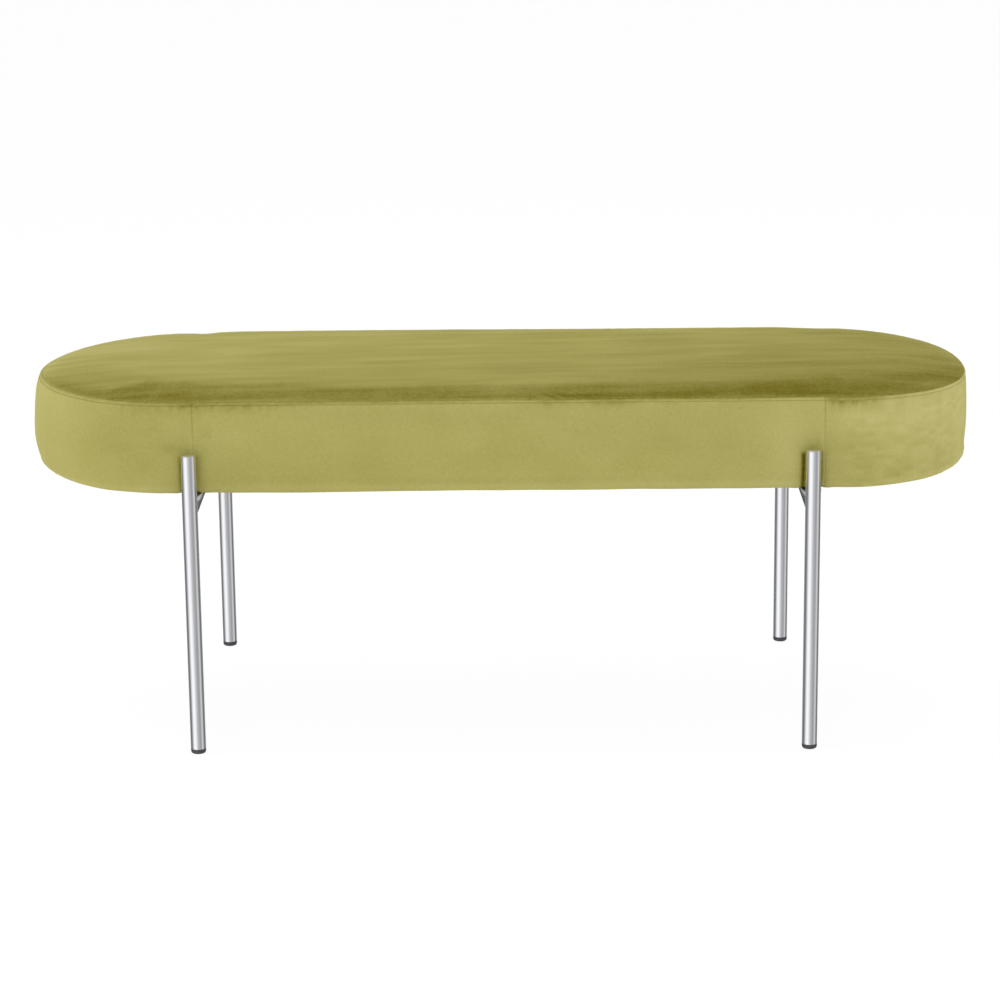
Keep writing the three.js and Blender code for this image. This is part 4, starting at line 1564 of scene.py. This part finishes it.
def glide(name, x, y, material):
    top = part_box(name)[1].z
    shoulder = top - GLIDE_PLUG
    flank = [
        (GLIDE_FOOT + (TUBE_RADIUS - GLIDE_FOOT) * math.sin(turn), GLIDE_SHOULDER * (1 - math.cos(turn)))
        for turn in np.linspace(0, math.pi / 2, 9)
    ]
    profile = [
        (0.5 * GLIDE_FOOT, 0),
        *flank,
        *broken_edge(TUBE_RADIUS, shoulder, 1),
        (PLUG_RADIUS, shoulder),
        (PLUG_RADIUS, top - EDGE_BREAK),
        (PLUG_RADIUS - EDGE_BREAK, top),
    ]
    piece = turned_piece(f"{name}_foot", profile, x, y, False)
    dress(piece, material, "glide", name)


def saddle(radius, side, x, outer, squeeze=1.0):
    """The line where a cross tube of this radius meets the wall of a leg of radius outer,
    narrowed by squeeze."""
    angle = np.arange(TUBE_SIDES) * 2 * math.pi / TUBE_SIDES
    across = squeeze * radius * np.cos(angle)
    reach = LEG_Y - np.sqrt(outer**2 - across**2)
    return np.stack([x + across, side * reach, CROSS_HEIGHT + radius * np.sin(angle)], axis=-1)


def cross_tube(name, x, material):
    """The tube between a front and a back leg, coped at both ends to fit their walls."""
    outer = TUBE_RADIUS + WELD_GAP
    loops = [
        saddle(BORE_RADIUS, -1, x, outer),
        saddle(TUBE_RADIUS, -1, x, outer),
        saddle(TUBE_RADIUS, 1, x, outer),
        saddle(BORE_RADIUS, 1, x, outer),
    ]
    piece = new_object(f"{name}_coped", loft(f"{name}_coped", loops, closed=True))
    dress(piece, material, "steel", name)


BOLTS = [f"{row}_{side}_{place}_bolt" for row, _ in ROWS for side, _ in SIDES for place in ("outer", "inner")]
BOLT_HOLE = 3.3 * MM

# The plates. A stem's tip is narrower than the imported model's, so that the leg hides it.
PLATE_EASE = 0.5 * MM
PLATE_CORNER = 5 * MM
PLATE_FILLET = 6 * MM
STEM_HALF = 12.5 * MM
STEM_TIP_HALF = 8.5 * MM
STEM_TAPER = 18 * MM
HEAD_DEPTH = 36 * MM


def arc(centre, radius, start, end, steps=10):
    angle = np.radians(np.linspace(start, end, steps))
    return [(centre[0] + radius * math.cos(a), centre[1] + radius * math.sin(a)) for a in angle]


def plate_outline(low, high):
    """The plate's outline in plan, for a front plate whose stem points to the front."""
    middle = (low.x + high.x) / 2
    half, neck = (high.x - low.x) / 2, high.y - HEAD_DEPTH
    right = [(STEM_TIP_HALF, low.y), (STEM_HALF, low.y + STEM_TAPER)]
    right += arc((STEM_HALF + PLATE_FILLET, neck - PLATE_FILLET), PLATE_FILLET, 180, 90)
    right += arc((half - PLATE_CORNER, neck + PLATE_CORNER), PLATE_CORNER, -90, 0)
    right += arc((half - PLATE_CORNER, high.y - PLATE_CORNER), PLATE_CORNER, 0, 90)
    left = [(-x, y) for x, y in reversed(right)]
    return [(middle + x, y) for x, y in right + left]


def flat_spline(curve, points):
    spline = curve.splines.new("POLY")
    spline.points.add(len(points) - 1)
    for point, (x, y) in zip(spline.points, points):
        point.co = (x, y, 0, 1)
    spline.use_cyclic_u = True


def bolt_place(name):
    low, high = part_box(name)
    return (low + high) / 2


def plate(name, row, material):
    """A plate cut from flat bar, with eased edges and two bolt holes."""
    low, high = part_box(name)
    if row > 0:
        low, high = Vector((low.x, -high.y, low.z)), Vector((high.x, -low.y, high.z))
    curve = bpy.data.curves.new(name, "CURVE")
    curve.dimensions = "2D"
    curve.fill_mode = "BOTH"
    curve.extrude = (high.z - low.z) / 2 - PLATE_EASE
    curve.bevel_depth = PLATE_EASE
    curve.bevel_resolution = 2
    curve.offset = -PLATE_EASE
    flat_spline(curve, plate_outline(low, high))
    for bolt in BOLTS:
        place = bolt_place(bolt)
        if low.x < place.x < high.x and place.y * row > 0:
            flat_spline(curve, arc((place.x, -abs(place.y)), BOLT_HOLE, 0, 350, 36))
    drawn = new_object(f"{name}_drawn", curve)
    mesh = evaluated(drawn)
    bpy.data.objects.remove(drawn)
    mesh.transform(Matrix.Translation((0, 0, (low.z + high.z) / 2)))
    if row > 0:
        mesh.transform(Matrix.Scale(-1, 4, (0, 1, 0)))
    piece = new_object(f"{name}_eased", soften(clean(mesh), 25))
    dress(piece, material, "steel", name)


def hexagon(across_corners, height, centre):
    """A hexagon with as many points as a circle, so that the two can be joined."""
    angle = np.arange(LOOP_SIDES) * 2 * math.pi / LOOP_SIDES
    flat = across_corners / 2 * math.cos(math.pi / 6)
    turn = (angle % (math.pi / 3)) - math.pi / 6
    radius = flat / np.cos(turn)
    x, y = centre[0] + radius * np.cos(angle), centre[1] + radius * np.sin(angle)
    return np.stack([x, y, np.full(LOOP_SIDES, height)], axis=-1)


HEAD_RADIUS = 5.5 * MM
HEAD_HEIGHT = 4 * MM
SOCKET_CORNERS = 4.6 * MM
SOCKET_DEPTH = 2.5 * MM
SOCKET_MOUTH = 0.5 * MM
SOCKET_MOUTH_DEPTH = 0.2 * MM
SHAFT_RADIUS = 3 * MM
HEAD_TURNS = (58, 48, 38, 26, 13, 0)


def bolt(name, material):
    """A button head bolt, head down, with a six-sided socket."""
    low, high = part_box(name)
    centre = (low.x + high.x) / 2, (low.y + high.y) / 2
    under = low.z + HEAD_HEIGHT
    dome = [
        circle(HEAD_RADIUS * math.cos(t), under - HEAD_HEIGHT * (0.25 + 0.75 * math.sin(t)), centre=centre)
        for t in np.radians(HEAD_TURNS)
    ]
    loops = [
        circle(0.3 * SHAFT_RADIUS, low.z + SOCKET_DEPTH, centre=centre),
        hexagon(SOCKET_CORNERS, low.z + SOCKET_DEPTH, centre),
        hexagon(SOCKET_CORNERS, low.z + SOCKET_MOUTH_DEPTH, centre),
        hexagon(SOCKET_CORNERS + SOCKET_MOUTH, dome[0][0][2], centre),
        *dome,
        circle(HEAD_RADIUS, under, centre=centre),
        circle(SHAFT_RADIUS, under, centre=centre),
        circle(SHAFT_RADIUS, high.z - EDGE_BREAK, centre=centre),
        circle(SHAFT_RADIUS - EDGE_BREAK, high.z, centre=centre),
    ]
    piece = new_object(f"{name}_button", loft(f"{name}_button", loops))
    dress(piece, material, "zinc", name)


def leg_frames(chrome, plastic, zinc):
    for row, row_sign in ROWS:
        for side, side_sign in SIDES:
            x, y = side_sign * LEG_X, row_sign * LEG_Y
            leg(f"{row}_{side}_leg", x, y, chrome)
            leg_cap(f"{row}_{side}_cap", x, y, chrome)
            glide(f"{row}_{side}_glide", x, y, plastic)
            plate(f"{row}_{side}_plate", row_sign, chrome)
    for side, side_sign in SIDES:
        cross_tube(f"{side}_cross_tube", side_sign * LEG_X, chrome)
    for name in BOLTS:
        bolt(name, zinc)


# What repeats along a path


def grains_tree(name, turn_spread, seed):
    """Geometry Nodes that set rounded grains along a path: stitches, staples or weld
    ripples. Its inputs are the grain's pitch, length, width and height, and a material."""
    tree = bpy.data.node_groups.new(name, "GeometryNodeTree")
    tree.interface.new_socket(name="Path", in_out="INPUT", socket_type="NodeSocketGeometry")
    for label in ("Pitch", "Length", "Width", "Height"):
        tree.interface.new_socket(name=label, in_out="INPUT", socket_type="NodeSocketFloat")
    tree.interface.new_socket(name="Material", in_out="INPUT", socket_type="NodeSocketMaterial")
    tree.interface.new_socket(name="Grains", in_out="OUTPUT", socket_type="NodeSocketGeometry")
    given = add(tree, "NodeGroupInput").outputs
    line = add(tree, "GeometryNodeMeshToCurve", None, {"Mesh": given["Path"]}).outputs["Curve"]
    steps = {"Curve": line, "Length": given["Pitch"]}
    points = add(tree, "GeometryNodeCurveToPoints", {"mode": "LENGTH"}, steps)
    ball = add(tree, "GeometryNodeMeshUVSphere", None, {"Segments": 8, "Rings": 6, "Radius": 0.5})
    size = {"X": given["Height"], "Y": given["Width"], "Z": given["Length"]}
    scale = add(tree, "ShaderNodeCombineXYZ", None, size).outputs["Vector"]
    grain = add(tree, "GeometryNodeTransform", None, {"Geometry": ball.outputs["Mesh"], "Scale": scale})
    spread = {"Min": (0, 0, -turn_spread), "Max": (turn_spread, 0, turn_spread), "Seed": seed}
    chance = add(tree, "FunctionNodeRandomValue", {"data_type": "FLOAT_VECTOR"}, spread)
    turn = add(tree, "FunctionNodeEulerToRotation", None, {"Euler": chance.outputs["Value"]})
    both = {"Rotation": points.outputs["Rotation"], "Rotate By": turn.outputs["Rotation"]}
    lie = add(tree, "FunctionNodeRotateRotation", {"rotation_space": "LOCAL"}, both)
    placed = add(tree, "GeometryNodeInstanceOnPoints", None, {
        "Points": points.outputs["Points"],
        "Instance": grain.outputs["Geometry"],
        "Rotation": lie.outputs["Rotation"],
    })
    real = add(tree, "GeometryNodeRealizeInstances", None, {"Geometry": placed.outputs["Instances"]})
    shaded = add(tree, "GeometryNodeSetShadeSmooth", None, {"Geometry": real.outputs["Geometry"]})
    covered = add(tree, "GeometryNodeSetMaterial", None, {
        "Geometry": shaded.outputs["Geometry"],
        "Material": given["Material"],
    })
    add(tree, "NodeGroupOutput", None, {"Grains": covered.outputs["Geometry"]})
    return tree


def path_mesh(name, lines):
    """A mesh of edges only, one run of them for each line of points."""
    points, edges = [], []
    for line in lines:
        first = len(points)
        points += [tuple(p) for p in line]
        edges += [(i, i + 1) for i in range(first, len(points) - 1)]
    mesh = bpy.data.meshes.new(name)
    mesh.from_pydata(points, edges, [])
    return mesh


def grains(name, lines, pitch, size, material, turn_spread, seed):
    """Grains of size (length, width, height) set along lines, as one plain mesh."""
    piece = new_object(name, path_mesh(name, lines))
    tree = grains_tree(f"{name}_tree", turn_spread, seed)
    modifier = piece.modifiers.new("grains", "NODES")
    modifier.node_group = tree
    values = {"Pitch": pitch, "Length": size[0], "Width": size[1], "Height": size[2], "Material": material}
    for item in tree.interface.items_tree:
        if item.name in values:
            modifier[item.identifier] = values[item.name]
    return finish_with_modifiers(piece)


# Grains: stitches, weld beads and staples. Each has a size as (length, width, height), and
# a chance as (how far it turns at random, in radians, and a seed). Beads run round each end
# of a cross tube, and under the tube's plates between two distances from the leg.
STITCH = (STITCH_LENGTH, THREAD, 0.8 * THREAD)
STITCH_CHANCE = (0.06, 3)
STITCH_PROUD = 0.25 * THREAD
BEAD = (1.7 * MM, 1.7 * MM, 1.5 * MM)
BEAD_PITCH = 0.9 * MM
BEAD_CHANCE = (0.2, 7)
BEAD_OUT = 0.5 * MM
BEAD_LOOP_SQUEEZE = 0.86
PLATE_BEAD_START = 4 * MM
PLATE_BEAD_END = 40 * MM
PLATE_BEAD_ASIDE = 5.4 * MM
STAPLE = (11 * MM, 1.1 * MM, 0.8 * MM)
STAPLE_PITCH = 38 * MM
STAPLE_CHANCE = (0.12, 5)
STAPLE_INSET = 7 * MM
STAPLE_DROP = 1.15 * MM


def topstitch(material):
    """The line of stitches round the band that holds the seam allowance down."""
    distance = PLAN.closed(BAND_PITCH)
    ridge, _, _, _ = band_stations(True)
    row = int(np.argmin(np.abs(ridge - (SEAM_HEIGHT - RIDGE_HEIGHT))))
    relief = band_relief(distance)
    relief[row] += STITCH_PROUD
    line = settle(swollen(band_surface(distance, START_BULGE, True, relief)[row:row + 1]))[0]
    piece = grains("topstitch_thread", [line], STITCH_PITCH, STITCH, material, *STITCH_CHANCE)
    dress(piece, material, "velvet")


def weld_beads(material):
    """Beads where each cross tube meets its legs and where the plates lie on it."""
    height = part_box("front_left_plate")[0].z - BEAD_OUT
    for side, side_sign in SIDES:
        x = side_sign * LEG_X
        lines = []
        for _, row in ROWS:
            loop = saddle(TUBE_RADIUS, row, x, TUBE_RADIUS + BEAD_OUT, BEAD_LOOP_SQUEEZE)
            lines.append(np.append(loop, loop[:1], axis=0))
            start = row * (LEG_Y - TUBE_RADIUS - PLATE_BEAD_START)
            end = row * (LEG_Y - TUBE_RADIUS - PLATE_BEAD_END)
            for across in (x - PLATE_BEAD_ASIDE, x + PLATE_BEAD_ASIDE):
                lines.append([(across, start, height), (across, end, height)])
        piece = grains(f"{side}_weld_beads", lines, BEAD_PITCH, BEAD, material, *BEAD_CHANCE)
        dress(piece, material, "steel")


def staples(material):
    """Wire staples that hold the edge of the dust cover to the frame."""
    x, y, nx, ny = PLAN.at(PLAN.closed(STAPLE_LINE_PITCH))
    inset = DUST_INSET + STAPLE_INSET
    height = DUST_LOW.z - STAPLE_DROP
    line = np.stack([x - inset * nx, y - inset * ny, np.full(len(x), height)], axis=-1)
    piece = grains("dust_cover_staples", [line], STAPLE_PITCH, STAPLE, material, *STAPLE_CHANCE)
    dress(piece, material, "zinc")


# Underside


# The dust cover: its rings in millimetres from its edge, the thickness of its fold and where
# that ends, the allowance folded in, how unevenly it lies inside its edge, how far that can
# raise it, the rim of its edge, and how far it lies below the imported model's
DUST_RINGS = (0, 0.4, 2, 5, 8, 10.5, 12, 13.5, 18, 26, 40, 60, 90, 120, 150)
DUST_FOLD = 0.45 * MM
DUST_FOLD_END = (11 * MM, 14 * MM)
DUST_UNEVEN = 0.35 * MM
DUST_UNEVEN_RANGE = (0, 40 * MM)
DUST_MOST_RAISED = 0.2 * MM
DUST_EDGE = (0.4 * MM, 0.5 * MM)
DUST_REST = 0.25 * MM


def dust_height(x, y, inset):
    fold = DUST_FOLD * (1 - smooth(*DUST_FOLD_END, inset))
    uneven = DUST_UNEVEN * wander(x, y, 60 * MM, 45 * MM, 81) * smooth(*DUST_UNEVEN_RANGE, inset)
    edge = DUST_LOW.z - fold + hump(inset, DUST_EDGE) - DUST_REST
    return edge + np.minimum(uneven, DUST_MOST_RAISED)


def dust_cover(material):
    """Dust cloth drawn over the hem, its edge folded in and its middle slightly uneven."""
    x, y, nx, ny = PLAN.at(PLAN.around(TOP_PITCH))
    foot = np.clip(x, -STRAIGHT_HALF, STRAIGHT_HALF)
    depth = (x - foot) * nx + y * ny
    rings = []
    for inset in DUST_INSET + np.array(DUST_RINGS) * MM:
        share = 1 - inset / depth
        px, py = foot + share * (x - foot), share * y
        rings.append(np.stack([px, py, dust_height(px, py, inset - DUST_INSET)], axis=-1))
    spine = np.stack([foot, 0 * y, np.full(len(x), DUST_LOW.z - DUST_REST)], axis=-1)
    points = np.array(rings + [spine])[:, ::-1]
    mesh = mesh_from("dust_cloth", points, grid_faces(*points.shape[:2], True))
    piece = new_object("dust_cloth", clean(mesh, 0.01 * MM))
    thicken(piece, DUST_CLOTH)
    piece.data.shade_smooth()
    dress(piece, material, "dust_cloth", "dust_cover")


def timber(plywood, pine):
    """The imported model's own frame pieces, finished as the woods that they are."""
    for name in ("base_board", "deck_board", "left_end_bend", "right_end_bend"):
        paint_node(name, plywood)
    paint_node("front_rail", pine)
    paint_node("back_rail", pine)
    for name in sorted(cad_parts):
        if name.startswith("cross_rib"):
            paint_node(name, pine)


def nuts(zinc):
    for name in sorted(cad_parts):
        if name.endswith("_nut"):
            paint_node(name, zinc)


def paint_node(name, material):
    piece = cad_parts[name]
    for material_slot in piece.material_slots:
        material_slot.material = material


# Studio


FLOOR_HALF = 40.0
FLOOR_SINK = 0.2 * MM
FLOOR_GLOW = 1.06
FLOOR_SHADOW_SHARE = 0.12


def floor():
    """A pale floor that takes only a faint shadow, and can't be seen from below."""
    corners = [(x * FLOOR_HALF, y * FLOOR_HALF, 0) for x, y in ((-1, -1), (1, -1), (1, 1), (-1, 1))]
    piece = new_object("studio_floor", mesh_from("studio_floor", corners, [(0, 1, 2, 3)]))
    piece.location.z = -FLOOR_SINK
    material = bpy.data.materials.new("pale_paper_floor")
    tree = blank_tree(material)
    glow = add(tree, "ShaderNodeEmission", None, {"Color": linear("#ffffff"), "Strength": FLOOR_GLOW})
    matt = add(tree, "ShaderNodeBsdfDiffuse", None, {"Color": linear("#f2f2f2")})
    layers = {"Fac": FLOOR_SHADOW_SHARE, 1: glow.outputs[0], 2: matt.outputs[0]}
    paper = add(tree, "ShaderNodeMixShader", None, layers)
    clear = add(tree, "ShaderNodeBsdfTransparent")
    below = add(tree, "ShaderNodeNewGeometry").outputs["Backfacing"]
    sides = {"Fac": below, 1: paper.outputs[0], 2: clear.outputs[0]}
    seen = add(tree, "ShaderNodeMixShader", None, sides)
    add(tree, "ShaderNodeOutputMaterial", None, {"Surface": seen.outputs[0]})
    piece.data.materials.append(material)
    piece.visible_glossy = False


# Brightness of the studio round the bench, from straight behind it, past its left side,
# the camera and its right side, to straight behind again. Shares of a full turn.
STUDIO_STOPS = (
    (0.0, 0.08),
    (0.05, 0.1),
    (0.07, 0.5),
    (0.1, 0.5),
    (0.13, 0.2),
    (0.21, 0.2),
    (0.265, 0.45),
    (0.305, 0.9),
    (0.35, 1.22),
    (0.405, 1.25),
    (0.45, 1.05),
    (0.49, 0.74),
    (0.535, 0.56),
    (0.6, 0.44),
    (0.65, 0.41),
    (0.682, 0.74),
    (0.732, 0.8),
    (0.77, 0.36),
    (0.81, 0.18),
    (0.885, 0.2),
    (0.91, 0.65),
    (0.935, 0.6),
    (0.955, 0.1),
    (1.0, 0.08),
)


CEILING_BRIGHTNESS = 0.6
CEILING_POWER = 0.7
CLOTH_LIGHT = 0.5


def grey(brightness):
    return (brightness, brightness, brightness, 1)


def studio_round(tree):
    """Brightness of the studio by direction, towards an even ceiling."""
    direction = add(tree, "ShaderNodeTexCoord").outputs["Generated"]
    parts = add(tree, "ShaderNodeSeparateXYZ", None, {"Vector": direction}).outputs
    towards = reckon(tree, parts["Y"], ("MULTIPLY", -1.0))
    share = reckon(tree, parts["X"], ("ARCTAN2", towards), ("DIVIDE", 2 * math.pi), ("ADD", 0.5))
    stops = [(place, grey(value)) for place, value in STUDIO_STOPS]
    walls = add(tree, "ShaderNodeValToRGB", None, {"Fac": share}, stops)
    height = reckon(tree, parts["Z"], ("MAXIMUM", 0.0), ("POWER", CEILING_POWER))
    inputs = {"Factor": height, "A": walls.outputs["Color"], "B": grey(CEILING_BRIGHTNESS)}
    return add(tree, "ShaderNodeMix", {"data_type": "RGBA"}, inputs).outputs["Result"]


def studio_world():
    """White to the camera, even soft light on cloth, and large soft boxes with dark gaps
    between them for the chrome to mirror."""
    world = bpy.data.worlds.new("studio")
    bpy.context.scene.world = world
    tree = blank_tree(world)
    mirrored = add(tree, "ShaderNodeBackground", None, {"Color": studio_round(tree), "Strength": 1.0})
    soft = add(tree, "ShaderNodeBackground", None, {"Color": grey(1), "Strength": CLOTH_LIGHT})
    white = add(tree, "ShaderNodeBackground", None, {"Color": grey(1), "Strength": 1.0})
    path = add(tree, "ShaderNodeLightPath").outputs
    inner = {"Fac": path["Is Glossy Ray"], 1: soft.outputs[0], 2: mirrored.outputs[0]}
    light = add(tree, "ShaderNodeMixShader", None, inner)
    outer = {"Fac": path["Is Camera Ray"], 1: light.outputs[0], 2: white.outputs[0]}
    seen = add(tree, "ShaderNodeMixShader", None, outer)
    add(tree, "ShaderNodeOutputWorld", None, {"Surface": seen.outputs[0]})


# Area lights that face the seat: name, place, width and height, and power in watts
SEAT_MIDDLE = (0, 0, 0.4)
SOFT_BOXES = (
    ("front_box", (-0.9, -3.6, 1.9), (2.6, 1.6), 42),
    ("top_box", (-0.4, 0.6, 3.0), (3.0, 2.0), 30),
    ("left_box", (-3.2, -0.6, 1.2), (1.6, 1.6), 14),
    ("right_box", (3.2, -0.6, 1.2), (1.6, 1.6), 14),
)


def soft_box(name, place, size, power):
    """A large area light that the chrome doesn't mirror."""
    data = bpy.data.lights.new(name, "AREA")
    data.shape = "RECTANGLE"
    data.size, data.size_y = size
    data.energy = power
    piece = new_object(name, data)
    piece.location = place
    piece.rotation_euler = (Vector(SEAT_MIDDLE) - Vector(place)).to_track_quat("-Z", "Y").to_euler()
    piece.visible_glossy = False


def camera():
    """A long lens at the height and turn of the photograph's."""
    yaw, pitch = CAMERA_YAW, CAMERA_PITCH
    ahead = Vector((math.sin(yaw) * math.cos(pitch), math.cos(yaw) * math.cos(pitch), -math.sin(pitch)))
    level = Vector((math.cos(yaw), -math.sin(yaw), 0))
    above = level.cross(ahead)
    right = level * math.cos(CAMERA_ROLL) + above * math.sin(CAMERA_ROLL)
    up = above * math.cos(CAMERA_ROLL) - level * math.sin(CAMERA_ROLL)
    data = bpy.data.cameras.new("camera")
    data.sensor_width = SENSOR_MM
    data.lens = FOCAL_PIXELS / IMAGE_PIXELS * SENSOR_MM
    data.clip_end = CAMERA_REACH
    piece = new_object("camera", data)
    turn = Matrix((right, up, -ahead)).transposed().to_4x4()
    piece.matrix_world = Matrix.Translation(CAMERA_PLACE) @ turn
    bpy.context.scene.camera = piece


def colour_view():
    """Shows colours as they are measured, so that the velvet keeps its hue."""
    view = bpy.context.scene.view_settings
    view.view_transform = "Standard"
    view.look = "None"
    view.exposure = 0
    view.gamma = 1


camera()
colour_view()
floor()
studio_world()
for box in SOFT_BOXES:
    soft_box(*box)

chrome = satin_chrome()
zinc = zinc_plate()
top_panel(velvet("velvet_top", tone_shift=-0.04, sheen=0.12, streak=0.16))
band(velvet("velvet_band", tone_shift=0.0, sheen=0.2, streak=0.04))
foam(open_cell_foam())
wadding(polyester_wadding())
leg_frames(chrome, moulded_plastic(), zinc)
topstitch(spun_thread())
weld_beads(chrome)
dust_cover(spunbond_cloth())
staples(zinc)
timber(birch_plywood(), softwood())
nuts(zinc)
